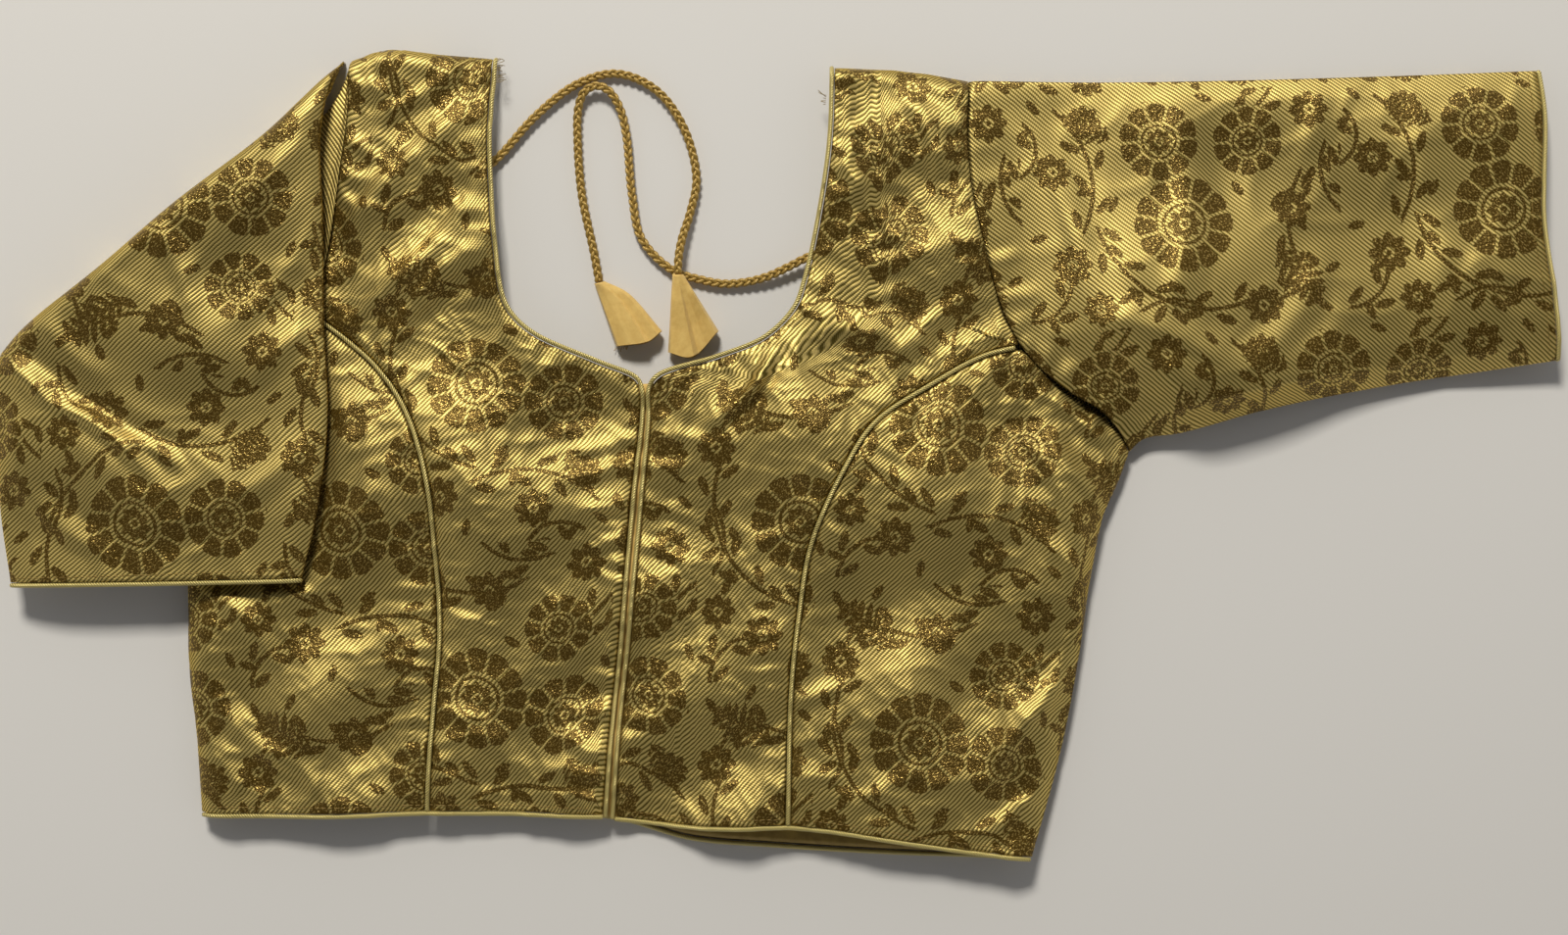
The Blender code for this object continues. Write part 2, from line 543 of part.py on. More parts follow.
def make_placket():
    """Plain strip behind the opening, which shows in the notch of the neck."""
    length = np.linspace(0.0, 1.0, 13)[:, None]
    left = np.array((-76.0, 33.5)) * (1 - length) + np.array((-92.0, -171.0)) * length
    right = np.array((-54.5, 33.5)) * (1 - length) + np.array((-70.0, -171.0)) * length
    across = np.linspace(0.0, 1.0, 4)[None, :, None]
    grid = left[:, None] * (1 - across) + right[:, None] * across
    depth = CLOTH / 2 + PIPING / 2 - CLOTH + GAP + PLAIN_CLOTH
    cloth_panel("placket", grid, lambda x, y: front_under(x, y) - depth, PLAIN_CLOTH,
                "pale yellow cloth")


def make_back(seam):
    """Back panel in one piece, cut deep at the neck, with its piping and the facing of its hem."""
    neck_steps = 16
    shoulder_steps = 3
    armhole_steps = ARMHOLE_STEPS + ACROSS_STEPS
    armhole_left = join_lines(seam["armhole left upper"], seam["armhole left lower"])
    armhole_right = join_lines(seam["armhole right upper"], seam["armhole right lower"])
    neck = np.vstack([(-139.4, 190.0), even(NECK_BACK, neck_steps - 2), (30.6, 186.0)])
    top = join_lines(armhole_left[::-1],
                     even(SHOULDER_LEFT[:-1] + (tuple(neck[0]),), shoulder_steps), neck,
                     even((tuple(neck[-1]),) + SHOULDER_RIGHT[1:], shoulder_steps), armhole_right)
    turns = np.array([0, armhole_steps, shoulder_steps, 2, 3, neck_steps - 10, 3, 2, shoulder_steps,
                      armhole_steps]).cumsum()
    hem_parts = (0.0, 0.12, 0.19, 0.22, 0.29, 0.77, 0.85, 0.88, 0.93, 1.0)
    hem = smooth_line(HEM_BACK, np.interp(np.arange(len(top)), turns, hem_parts))
    grid = coons(top, hem, even(SIDE_LEFT, 7), even(SIDE_RIGHT, 7))
    top_gaps = np.full(len(top) - 1, GAP / 2)
    top_gaps[turns[2]:turns[7]] = SEAM
    grid = inset(grid, top=top_gaps, bottom=SEAM, left=0.0, right=0.0)
    cloth_panel("back_panel", grid, back_lift, BACK_CLOTH, "brocade back")

    neck_line = even(NECK_BACK, neck_steps - 2)
    for name, line in (("piping_neck_back", neck_line), ("piping_hem_back", trimmed(hem, 1.0, 4.0))):
        height = back_lift(line[:, 0], line[:, 1]) + PIPING / 2
        round_cord(name, np.column_stack([line, height]), PIPING, "greenish gold piping")

    low = even(((-62.0, -178.0), (-41.6, -183.5), (-1.2, -187.0), (59.0, -190.6), (112.0, -192.4)), 10)
    high = even(((-62.0, -156.0), (-1.2, -162.0), (106.0, -168.0)), 10)
    sides = np.linspace(0, 1, 3)[:, None]
    strip = coons(high, low, high[0] * (1 - sides) + low[0] * sides,
                  high[-1] * (1 - sides) + low[-1] * sides)
    cloth_panel("back_hem_facing", strip, lambda x, y: back_lift(x, y) + BACK_CLOTH + 2 * GAP,
                PLAIN_CLOTH, "plain gold lining")


def sleeve_loop(name, line, parts, top, bottom, outward):
    """Piping round a sleeve's open end, one closed loop just past the cloth's edge."""
    middle = (top + bottom) / 2
    fullness = fullness_at(parts)
    half = SLEEVE_CLOTH / 2
    over = middle + (top - half - middle) * fullness
    below = middle - (middle - bottom - half) * fullness
    below = np.maximum(below, PIPING / 2)
    chord = line[-1] - line[0]
    chord = chord / np.linalg.norm(chord)
    line = line + chord * (half * (1 - 2 * parts))[:, None] + np.array(outward) * SEAM
    upper = np.column_stack([line, over])
    lower = np.column_stack([line, below])[-2:0:-1]
    round_cord(name, np.vstack([upper, lower]), PIPING, "greenish gold piping", closed=True)


def make_right_sleeve(seam):
    """The spread sleeve: a flattened tube, open at the armhole and at the hem."""
    armhole = join_lines(seam["armhole right upper"], seam["armhole right lower"])
    parts = parts_of(armhole)
    lengths = np.linspace(0, 1, 11)
    grid = coons(armhole, smooth_line(SLEEVE_RIGHT_HEM, parts),
                 smooth_line(SLEEVE_RIGHT_TOP, lengths), smooth_line(SLEEVE_RIGHT_BOTTOM, lengths))
    grid[0] += sideways(grid[0], GAP)
    table = np.array(SLEEVE_RIGHT_SECTIONS)
    upper, lower, bulge = (np.interp(lengths, table[:, 0], table[:, k])[:, None] for k in (1, 2, 3))
    edge = upper * (1 - parts) + lower * parts
    middle = 4 * parts * (1 - parts)
    top = edge + SLEEVE_EDGE + bulge * middle
    bottom = np.maximum(0, edge - SLEEVE_EDGE - SLEEVE_SAG * middle)
    x, y = grid[..., 0], grid[..., 1]
    joined = 1 - ease(0.0, 0.27, lengths)[:, None]
    top = top * (1 - joined) + (front_under(x, y) + CLOTH) * joined
    bottom = bottom * (1 - joined) + back_lift(x, y) * joined
    flat_tube("sleeve_right", grid, parts, top, bottom, SLEEVE_CLOTH, "gold brocade")
    sleeve_loop("piping_sleeve_right", grid[-1], parts, top[-1], bottom[-1], (1.0, 0.0))


def flap_rest(x, y):
    """Height at which the folded sleeve lies: just over the fronts, lower past their side."""
    return front_full(x, y) + CLOTH + 2 * GAP - FLAP_SLOPE * np.maximum(0, SIDE_LEFT[0][0] - x)


def flap_under(x, y):
    """Height of the folded sleeve's lower layer: at rest on the fronts, down at the turn."""
    return flap_rest(x, y) * ease(FOLD_RIM - 1.5, FOLD_RIM + 2.0, distance(x, y, TURN_LEFT))


def make_left_sleeve(seam):
    """The sleeve that is turned over: its part on the table, and the part over the bodice."""
    armhole = join_lines(seam["armhole left upper"], seam["armhole left lower"])
    parts = parts_of(armhole)
    lengths = np.linspace(0, 1, 7)
    grid = coons(armhole, smooth_line(UNDER_TURN, parts),
                 smooth_line(UNDER_TOP_EDGE, lengths), smooth_line(UNDER_BOTTOM_EDGE, lengths))
    grid[0] -= sideways(grid[0], GAP)
    x, y = grid[..., 0], grid[..., 1]
    top = front_full(x, y) + CLOTH + 2 * GAP - UNDER_CLEAR
    top[0] = front_under(x[0], y[0]) + CLOTH
    bottom = np.zeros(top.shape)
    flat_tube("sleeve_left_under", grid, parts, top, bottom, SLEEVE_CLOTH, "gold brocade")

    lengths = np.r_[0.0, 0.008, 0.022, 0.045, 0.08, np.linspace(0.14, 1.0, 9)]
    grid = coons(smooth_line(TURN_LEFT, parts), smooth_line(FLAP_HEM, parts),
                 smooth_line(FLAP_RIGHT_EDGE, lengths), smooth_line(FLAP_LEFT_EDGE, lengths))
    x, y = grid[..., 0], grid[..., 1]
    under = flap_under(x, y)
    roll = np.clip(distance(x, y, TURN_LEFT) / FOLD_RIM, 0, 1)
    rise = TURN_START + (1 - TURN_START) * np.sqrt(1 - (1 - roll) ** 2)
    over = (flap_rest(x, y) + FLAP_HEIGHT + folds(x, y, FLAP_FOLDS)) * rise
    flat_tube("sleeve_left", grid, parts, over, under, SLEEVE_CLOTH, "gold brocade", first_inner=5)
    sleeve_loop("piping_sleeve_left", grid[-1], parts, over[-1], under[-1], (0.0, -1.0))


def make_ties():
    """Two tie cords sewn to the back neck, each ending in a folded cone of cloth."""
    cord_step = 2.6 * DORI
    for name, route in (("dori_left", DORI_LEFT), ("dori_right", DORI_RIGHT)):
        length = np.linalg.norm(np.diff(smooth_line(route, np.linspace(0, 1, 200)), axis=0), axis=1).sum()
        round_cord(name, even(route, round(length / cord_step)), DORI, "mustard gold cord", sides=2)
    parts = np.array((0.0, 0.06, 0.28, 0.5, 0.72, 0.94, 1.0))
    lengths = np.linspace(0, 1, 5)
    for name, cone in (("latkan_left", LATKAN_LEFT), ("latkan_right", LATKAN_RIGHT)):
        grid = coons(smooth_line(cone["neck"], parts), smooth_line(cone["mouth"], parts),
                     smooth_line(cone["first edge"], lengths), smooth_line(cone["second edge"], lengths))
        stations = np.linspace(0, 1, len(cone["under"]))
        bottom = np.interp(lengths, stations, cone["under"])[:, None] + np.zeros(len(parts))
        top = bottom + np.interp(lengths, stations, cone["height"])[:, None]
        flat_tube(name, grid, parts, top, bottom, LATKAN_WALL, "pale yellow cloth", first_inner=2)


def make_blouse():
    """All pieces in sewing order."""
    clear_scene()
    seam = seam_lines()
    make_back(seam)
    make_placket()
    make_fronts(seam)
    make_front_pipings(seam)
    make_right_sleeve(seam)
    make_left_sleeve(seam)
    make_ties()


make_blouse()
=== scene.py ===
# %% [markdown]
# # A gold brocade choli, laid flat
# A choli is the short fitted blouse worn with a sari. This one is cut from gold silk brocade, lined,
# and piped along its seams and edges. It lies on its back, its right sleeve spread and its left sleeve
# folded over the bodice. The lesson makes the cloth from its seam lines, hangs the folds on it as soft
# ridges, and weaves the brocade out of plain nodes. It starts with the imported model, which fixes every
# size and place.

# %% Load the frame
import math

import bpy
import numpy as np
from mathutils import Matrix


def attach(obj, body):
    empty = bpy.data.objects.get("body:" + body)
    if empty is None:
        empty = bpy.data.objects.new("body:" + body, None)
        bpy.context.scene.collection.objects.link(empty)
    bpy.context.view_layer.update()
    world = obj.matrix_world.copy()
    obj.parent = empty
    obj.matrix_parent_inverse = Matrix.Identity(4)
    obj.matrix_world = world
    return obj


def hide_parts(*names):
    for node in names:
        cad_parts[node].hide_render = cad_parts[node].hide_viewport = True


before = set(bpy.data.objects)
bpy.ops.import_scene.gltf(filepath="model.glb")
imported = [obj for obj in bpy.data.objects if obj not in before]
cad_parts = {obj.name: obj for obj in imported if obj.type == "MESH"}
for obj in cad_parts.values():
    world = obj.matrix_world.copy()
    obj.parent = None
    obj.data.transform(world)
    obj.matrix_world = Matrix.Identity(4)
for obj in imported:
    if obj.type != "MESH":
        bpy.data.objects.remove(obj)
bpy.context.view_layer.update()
bpy.ops.object.select_all(action="DESELECT")
MM = 0.001
print("nodes in the frame:", len(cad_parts))

# %% [markdown]
# ## The camera
# The blouse is seen from straight above, so the camera looks down its own -Z and needs no turn. One
# pixel of the 1600 x 954 picture is 0.47 mm at the cloth's level. With a lens of about 48 mm that
# puts the camera a metre up.

# %% Camera
PICTURE_WIDTH = 1600
PIXEL = 0.47 * MM
LENS = 47.9
SENSOR = 36.0
VIEW_CENTRE = (0.0021, -0.0063, 0.009)
camera_height = LENS / SENSOR * PICTURE_WIDTH * PIXEL
bpy.ops.object.camera_add(location=(VIEW_CENTRE[0], VIEW_CENTRE[1], VIEW_CENTRE[2] + camera_height),
                          rotation=(0.0, 0.0, 0.0))
camera = bpy.context.object
camera.name = "camera_above"
camera.data.lens = LENS
camera.data.sensor_width = SENSOR
camera.data.clip_start = 0.05
bpy.context.scene.camera = camera
print(f"camera {camera_height:.3f} m above the cloth")

# %% [markdown]
# ## Lines through points
# Every seam of a garment is a smooth line through a few measured points. The tables here are in
# millimetres, as a cutter's are, x to the right and y up the body. `in_frame` turns them into the
# frame's metres. `smooth_line` runs a curve through the points and reads it at chosen parts of its
# length, so that two pieces can share a seam step by step.

# %% Smooth lines
CENTRE = (0.977, -0.314)


def in_frame(points):
    """Table points in millimetres as places in the frame, in metres."""
    return (np.asarray(points, float) - (CENTRE[0], CENTRE[1], 0.0)) * MM


def run_of(line):
    """How far along a line each of its points lies."""
    return np.r_[0, np.cumsum(np.linalg.norm(np.diff(line, axis=0), axis=1))]


def read_line(line, steps):
    """Points at the given distances along a line."""
    run = run_of(line)
    return np.column_stack([np.interp(steps, run, line[:, k]) for k in range(line.shape[1])])


def smooth_line(points, parts):
    """Points at the given parts of the length of a smooth curve through the given points."""
    points = np.array(points, float)
    if len(points) == 2:
        dense = points[0] + (points[1] - points[0]) * np.linspace(0, 1, 33)[:, None]
    else:
        ends = np.vstack([2 * points[0] - points[1], points, 2 * points[-1] - points[-2]])
        knots = np.r_[0, np.cumsum(np.sqrt(np.linalg.norm(np.diff(ends, axis=0), axis=1)))]
        pieces = []
        for i in range(1, len(ends) - 2):
            span = knots[i + 1] - knots[i]
            leg = [(ends[j + 1] - ends[j]) / (knots[j + 1] - knots[j]) for j in (i - 1, i, i + 1)]
            wide = [(ends[j + 2] - ends[j]) / (knots[j + 2] - knots[j]) for j in (i - 1, i)]
            start = (leg[0] - wide[0] + leg[1]) * span
            end = (leg[1] - wide[1] + leg[2]) * span
            t = np.linspace(0, 1, 24, endpoint=False)[:, None]
            pieces.append((2 * t**3 - 3 * t**2 + 1) * ends[i] + (t**3 - 2 * t**2 + t) * start
                          + (3 * t**2 - 2 * t**3) * ends[i + 1] + (t**3 - t**2) * end)
        dense = np.vstack(pieces + [points[-1:]])
    return read_line(dense, np.asarray(parts) * run_of(dense)[-1])


def even(points, steps):
    """A smooth line in even steps."""
    return smooth_line(points, np.linspace(0, 1, steps + 1))


def length_of(line):
    """Length of a line of points."""
    return run_of(line)[-1]


def by_length(points, step):
    """A smooth line in even steps of about the given length."""
    return even(points, round(length_of(even(points, 200)) / step))


# %% [markdown]
# ## Meshes of rows
# Cloth, piping and cord are all rows of points, so one function makes every mesh. Each corner also
# gets a place on the cloth, in metres along and across the weave, in a map named `cloth`. The weave
# is drawn on that map, so it follows the cloth wherever it folds. Solidify then gives the sheet its
# wall, on the inside.

# %% Sheets and tubes
def select_only(piece):
    """Make one object the selected and active one."""
    bpy.ops.object.select_all(action="DESELECT")
    piece.select_set(True)
    bpy.context.view_layer.objects.active = piece


def merged(piece, distance=1e-6):
    """Weld the points of a mesh that lie on each other, and turn its faces outward."""
    select_only(piece)
    bpy.ops.object.mode_set(mode="EDIT")
    bpy.ops.mesh.select_all(action="SELECT")
    bpy.ops.mesh.remove_doubles(threshold=distance)
    bpy.ops.mesh.normals_make_consistent(inside=False)
    bpy.ops.object.mode_set(mode="OBJECT")
    piece.select_set(False)
    return piece


def rows_mesh(name, points, cloth, material, wall=0.0, closed=False):
    """A mesh from rows of points and their places on the cloth, both in millimetres.

    A closed one joins each row's end to its start. An open one has its outside on top.
    """
    rows, count = points.shape[:2]
    row, column = (grid.ravel() for grid in np.mgrid[0:rows - 1, 0:count if closed else count - 1])
    after = (column + 1) % count
    faces = np.column_stack([row * count + column, (row + 1) * count + column,
                             (row + 1) * count + after, row * count + after])
    width = cloth.shape[1]
    corners = np.column_stack([row * width + column, (row + 1) * width + column,
                               (row + 1) * width + column + 1, row * width + column + 1])
    mesh = bpy.data.meshes.new(name)
    mesh.from_pydata(in_frame(points.reshape(-1, 3)).tolist(), [], faces.tolist())
    places = cloth.reshape(-1, 2)[corners.ravel()] * MM
    mesh.uv_layers.new(name="cloth").data.foreach_set("uv", places.astype(np.float32).ravel())
    mesh.materials.append(material)
    mesh.shade_smooth()
    piece = bpy.data.objects.new(name, mesh)
    bpy.context.scene.collection.objects.link(piece)
    merged(piece)
    if not closed and sum(face.normal.z for face in mesh.polygons) < 0:
        mesh.flip_normals()
    if wall:
        solid = piece.modifiers.new("wall", "SOLIDIFY")
        solid.thickness = wall * MM
        solid.offset = -1.0
        bpy.context.view_layer.objects.active = piece
        bpy.ops.object.modifier_apply(modifier="wall")
    return piece


def cross_frames(line, axis=None):
    """Two directions square to a line at each of its points: sideways and upwards.

    A closed loop is given the axis that it goes round, which is its sideways.
    """
    if axis is None:
        along = np.gradient(line, axis=0)
        side = np.cross(along, (0.0, 0.0, 1.0))
    else:
        along = np.roll(line, -1, axis=0) - np.roll(line, 1, axis=0)
        along /= np.linalg.norm(along, axis=1)[:, None]
        side = np.array(axis) - along * (along @ np.array(axis))[:, None]
    along /= np.linalg.norm(along, axis=1)[:, None]
    side /= np.linalg.norm(side, axis=1)[:, None]
    return side, np.cross(side, along)


def round_tube(name, line, diameter, material, sides=12, axis=None):
    """A round tube along a line, its cloth map running along it and around it."""
    side, up = cross_frames(line, axis)
    closed = axis is not None
    if closed:
        line, side, up = (np.vstack([a, a[:1]]) for a in (line, side, up))
    turn = np.linspace(0, 2 * math.pi, sides, endpoint=False)
    rings = (line[:, None] + diameter / 2 * (np.cos(turn)[None, :, None] * side[:, None]
                                             + np.sin(turn)[None, :, None] * up[:, None]))
    if not closed:
        rings = np.vstack([line[None, :1].repeat(sides, 1), rings, line[None, -1:].repeat(sides, 1)])
        line = np.vstack([line[:1], line, line[-1:]])
    around = np.linspace(0, math.pi * diameter, sides + 1)
    cloth = np.stack(np.broadcast_arrays(around[None, :], run_of(line)[:, None]), axis=2)
    return rows_mesh(name, rings, cloth, material, closed=True)


def as_one(name, pieces):
    """Several meshes as one object."""
    bpy.ops.object.select_all(action="DESELECT")
    for piece in pieces:
        piece.select_set(True)
    bpy.context.view_layer.objects.active = pieces[0]
    bpy.ops.object.join()
    pieces[0].name = name
    bpy.ops.object.select_all(action="DESELECT")
    return pieces[0]


# %% [markdown]
# ## Nodes and colours
# A material is a graph of small steps. `add` places one node, sets its own properties, and fills its
# sockets with numbers or links. Colours are written as hex values, as a dyer's chart is, and turned
# to linear light by one function.

# %% Node and colour helpers
def add(tree, kind, sockets=(), **settings):
    """Add a shader node. Sockets are given in order or by name, as values, nodes or outputs."""
    made = tree.nodes.new("ShaderNode" + kind)
    for name, value in settings.items():
        setattr(made, name, value)
    for key, value in sockets.items() if isinstance(sockets, dict) else enumerate(sockets):
        if isinstance(value, bpy.types.Node):
            value = next(output for output in value.outputs if output.enabled)
        if isinstance(value, bpy.types.NodeSocket):
            tree.links.new(value, made.inputs[key])
        elif value is not None:
            made.inputs[key].default_value = value
    return made


def linear(code):
    """An sRGB hex colour as linear light."""
    parts = [int(code[i:i + 2], 16) / 255 for i in (1, 3, 5)]
    return tuple(c / 12.92 if c <= 0.04045 else ((c + 0.055) / 1.055) ** 2.4 for c in parts) + (1.0,)


def new_material(name, **sockets):
    """A material with one Principled shader, whose sockets are given by name."""
    material = bpy.data.materials.new(name)
    material.use_nodes = True
    shader = material.node_tree.nodes["Principled BSDF"]
    for socket, value in sockets.items():
        shader.inputs[socket.replace("_", " ")].default_value = value
    return material, material.node_tree, shader


def set_stops(ramp, stops):
    """Give a colour ramp its stops: places, and the grey from there on."""
    ramp.color_ramp.interpolation = "CONSTANT"
    elements = ramp.color_ramp.elements
    while len(elements) < len(stops):
        elements.new(1.0)
    for element, (place, value) in zip(elements, stops):
        element.position = place
        element.color = (value, value, value, 1.0)
    return ramp


# %% [markdown]
# ## The tie cords' silk
# The ties, called dori, are plaited from twisted mustard silk. Twisted silk has a soft, long
# highlight and dark gaps between its strands. Fine slanting ridges along each strand stand for the
# plies, 0.5 mm apart. Their colour is painted darker in the gaps, as painted shade, and lighter on
# the crests, as painted highlight, so that they show.

# %% Material: twisted silk cord
silk_cord, tree, shader = new_material("twisted_mustard_silk", Roughness=0.34, Metallic=0.25)
cloth = add(tree, "UVMap", uv_map="cloth")
split = add(tree, "SeparateXYZ", [cloth])
slant = add(tree, "Math", [split.outputs["X"], split.outputs["Y"]], operation="ADD")
plies = add(tree, "Math", [slant, 2 * math.pi / (0.55 * MM)], operation="MULTIPLY")
plies = add(tree, "Math", [plies], operation="SINE")
# Painted shade in the gaps between plies and painted highlight on their crests: dark and light mustard
# follow the ply ridges.
shade = add(tree, "MapRange", [plies, -1.0, 1.0, 0.0, 1.0])
tone = add(tree, "TexNoise", {"Vector": cloth, "Scale": 300.0, "Detail": 3.0})
colour = add(tree, "Mix", {0: shade, 6: linear("#6f5320"), 7: linear("#d8b45e")}, data_type="RGBA")
colour = add(tree, "Mix", {0: tone.outputs[0], 6: colour.outputs[2], 7: linear("#a88638")},
             data_type="RGBA")
bump = add(tree, "Bump", {"Strength": 0.6, "Distance": 0.05 * MM, "Height": plies})
tree.links.new(colour.outputs[2], shader.inputs["Base Color"])
tree.links.new(bump.outputs[0], shader.inputs["Normal"])

# %% [markdown]
# ## The tie cords
# Each dori leaves the back neck, loops over the table and ends in a cloth cone. The photo shows both
# from end to end, so their drawn lengths are their real ones. The routes repeat the frame's. The
# cord is a plait: each strand swings from side to side, and crosses over or under twice a swing.
# Tubes are swept along those paths and kept as one mesh.

# %% Dori routes and plait
DORI_LEFT = ((-139.3, 138.8, 2.3), (-132.3, 145.7, 2.3), (-116.8, 163.1, 2.3), (-96.6, 178.6, 2.3),
             (-77.8, 183.5, 2.3), (-59.0, 175.8, 2.3), (-45.4, 157.5, 2.3), (-39.2, 133.0, 2.35),
             (-42.1, 116.5, 3.2), (-46.0, 103.5, 5.2), (-47.6, 94.0, 6.9), (-47.9, 86.8, 7.1))
DORI_RIGHT = ((24.0, 97.5, 5.2), (15.1, 94.9, 5.1), (5.6, 90.2, 4.4), (-4.9, 85.5, 3.4),
              (-15.3, 82.9, 2.5), (-25.8, 82.1, 2.3), (-36.4, 83.9, 2.3), (-51.0, 88.8, 2.3),
              (-65.7, 103.9, 2.3), (-70.4, 126.0, 2.3), (-73.1, 154.3, 2.4), (-76.2, 166.9, 3.2),
              (-81.5, 175.0, 4.2), (-87.2, 177.3, 4.4), (-93.0, 174.6, 3.9), (-96.1, 167.0, 2.8),
              (-96.6, 152.3, 2.3), (-94.5, 125.0, 2.3), (-88.8, 97.8, 2.3), (-86.2, 83.3, 2.3))
STRANDS = 3
SWING = 11.4          # length in which a strand swings over and back
SWING_WIDTH = 1.25    # how far it swings to each side
SWING_HEIGHT = 0.62
STRAND = 1.85         # thickness of a strand


def plait(name, route):
    """Plaited strands along a route, as one mesh, and the route's own points."""
    line = by_length(route, 0.6)
    side, up = cross_frames(line)
    run = np.linspace(0, length_of(line), len(line))
    strands = []
    for k in range(STRANDS):
        phase = 2 * math.pi * (run / SWING + k / STRANDS)
        path = (line + side * (SWING_WIDTH * np.sin(phase))[:, None]
                + up * (SWING_HEIGHT * np.sin(2 * phase))[:, None])
        strands.append(round_tube(f"{name}_{k}", path, STRAND, silk_cord, sides=8))
    return as_one(name, strands), line


cords = {}
for name, route in (("dori_left_plait", DORI_LEFT), ("dori_right_plait", DORI_RIGHT)):
    cords[name] = plait(name, route)
    print(name, f"{length_of(cords[name][1]):.0f} mm long")

# %% [markdown]
# ## The brocade's repeat
# Brocade is a ground weave with a second set of threads that float only where the motif needs
# them. The motifs here are the old flower and leaf forms of Indian brocades: a large rosette with
# two smaller ones beside it, starry flowers on bending stems, leaves and ferns. They are drawn from
# circles and angles, in millimetres, inside one repeat of 116 by 154 mm. Each second column is
# dropped by half a repeat, as weavers do, so that the rows don't show.

# %% Node groups for the motifs
def new_group(name, inputs, outputs=("Ink",)):
    """An empty node group with a place in millimetres, number inputs, and number outputs."""
    group = bpy.data.node_groups.new(name, "ShaderNodeTree")
    group.interface.new_socket("Place", in_out="INPUT", socket_type="NodeSocketVector")
    for socket in inputs:
        group.interface.new_socket(socket, in_out="INPUT", socket_type="NodeSocketFloat")
    for socket in outputs:
        group.interface.new_socket(socket, in_out="OUTPUT", socket_type="NodeSocketFloat")
    return group, group.nodes.new("NodeGroupInput"), group.nodes.new("NodeGroupOutput")


def polar(group, place, radius):
    """Nodes for the distance from a motif's centre, in its radii, and the angle round it."""
    out = add(group, "VectorMath", [place], operation="LENGTH")
    out = add(group, "Math", [out, radius], operation="DIVIDE")
    split = add(group, "SeparateXYZ", [place])
    angle = add(group, "Math", [split.outputs["Y"], split.outputs["X"]], operation="ARCTAN2")
    return out, angle


rosette, given, result = new_group("rosette", ("Radius", "Petals"), ("Ink", "Clear"))
place, radius, petals = (given.outputs[i] for i in range(3))
out, angle = polar(rosette, place, radius)
turn = add(rosette, "Math", [angle, petals], operation="MULTIPLY")
across_petal = add(rosette, "Math", [turn, math.pi], operation="PINGPONG")
round_end = add(rosette, "Math", [across_petal, 4.0], operation="POWER")
round_end = add(rosette, "Math", [round_end, -0.14 / math.pi**4, 1.0], operation="MULTIPLY_ADD")
inside = add(rosette, "Math", [out, round_end], operation="LESS_THAN")
to_edge = add(rosette, "Math", [math.pi, across_petal], operation="SUBTRACT")
to_edge = add(rosette, "Math", [to_edge, out], operation="MULTIPLY")
to_edge = add(rosette, "Math", [to_edge, radius], operation="MULTIPLY")
to_edge = add(rosette, "Math", [to_edge, petals], operation="DIVIDE")
parted = add(rosette, "Math", [to_edge, 0.72], operation="GREATER_THAN")
middle = add(rosette, "Math", [out, 0.5], operation="LESS_THAN")
parted = add(rosette, "Math", [parted, middle], operation="MAXIMUM")
rings = set_stops(add(rosette, "ValToRGB", [out]), ((0.0, 0.0), (0.38, 1.0), (0.45, 0.0), (0.53, 1.0)))
petal_ink = add(rosette, "Math", [inside, parted], operation="MULTIPLY")
petal_ink = add(rosette, "Math", [petal_ink, rings], operation="MULTIPLY")
lobes = add(rosette, "Math", [angle, 8.0], operation="MULTIPLY")
lobes = add(rosette, "Math", [lobes], operation="COSINE")
lobes = add(rosette, "Math", [lobes, 0.045, 0.3], operation="MULTIPLY_ADD")
heart = add(rosette, "Math", [out, lobes], operation="LESS_THAN")
eye = set_stops(add(rosette, "ValToRGB", [out]), ((0.0, 1.0), (0.07, 0.0), (0.12, 1.0)))
heart = add(rosette, "Math", [heart, eye], operation="MULTIPLY")
ink = add(rosette, "Math", [petal_ink, heart], operation="MAXIMUM")
clear = add(rosette, "Math", [out, 1.06], operation="GREATER_THAN")
rosette.links.new(ink.outputs[0], result.inputs[0])
rosette.links.new(clear.outputs[0], result.inputs[1])

star_flower, given, result = new_group("star_flower", ("Radius", "Points"))
place, radius, points = (given.outputs[i] for i in range(3))
out, angle = polar(star_flower, place, radius)
turn = add(star_flower, "Math", [angle, points], operation="MULTIPLY")
turn = add(star_flower, "Math", [turn, 0.5], operation="MULTIPLY")
turn = add(star_flower, "Math", [turn], operation="COSINE")
turn = add(star_flower, "Math", [turn], operation="ABSOLUTE")
edge = add(star_flower, "Math", [turn, 0.3, 0.7], operation="MULTIPLY_ADD")
inside = add(star_flower, "Math", [out, edge], operation="LESS_THAN")
eye = set_stops(add(star_flower, "ValToRGB", [out]), ((0.0, 1.0), (0.13, 0.0), (0.28, 1.0)))
ink = add(star_flower, "Math", [inside, eye], operation="MULTIPLY")
star_flower.links.new(ink.outputs[0], result.inputs[0])

fern, given, result = new_group("fern", ("Leaflets",))
place, leaflets = given.outputs[0], given.outputs[1]
split = add(fern, "SeparateXYZ", [place])
along, aside = split.outputs["X"], add(fern, "Math", [split.outputs["Y"]], operation="ABSOLUTE")
taper = add(fern, "Math", [along, along], operation="MULTIPLY")
taper = add(fern, "Math", [along, taper], operation="SUBTRACT")
taper = add(fern, "Math", [taper, 3.6, 0.05], operation="MULTIPLY_ADD")
slant = add(fern, "Math", [aside, -2.4], operation="MULTIPLY")
lobe = add(fern, "Math", [along, leaflets, slant], operation="MULTIPLY_ADD")
lobe = add(fern, "Math", [lobe, 1.0], operation="PINGPONG")
reach = add(fern, "Math", [lobe, 0.5, 0.6], operation="MULTIPLY_ADD")
taper = add(fern, "Math", [taper, reach], operation="MULTIPLY")
inside = add(fern, "Math", [aside, taper], operation="LESS_THAN")
lobe = add(fern, "Math", [lobe, 0.24], operation="GREATER_THAN")
rib = add(fern, "Math", [aside, 0.11], operation="LESS_THAN")
lobe = add(fern, "Math", [lobe, rib], operation="MAXIMUM")
ink = add(fern, "Math", [inside, lobe], operation="MULTIPLY")
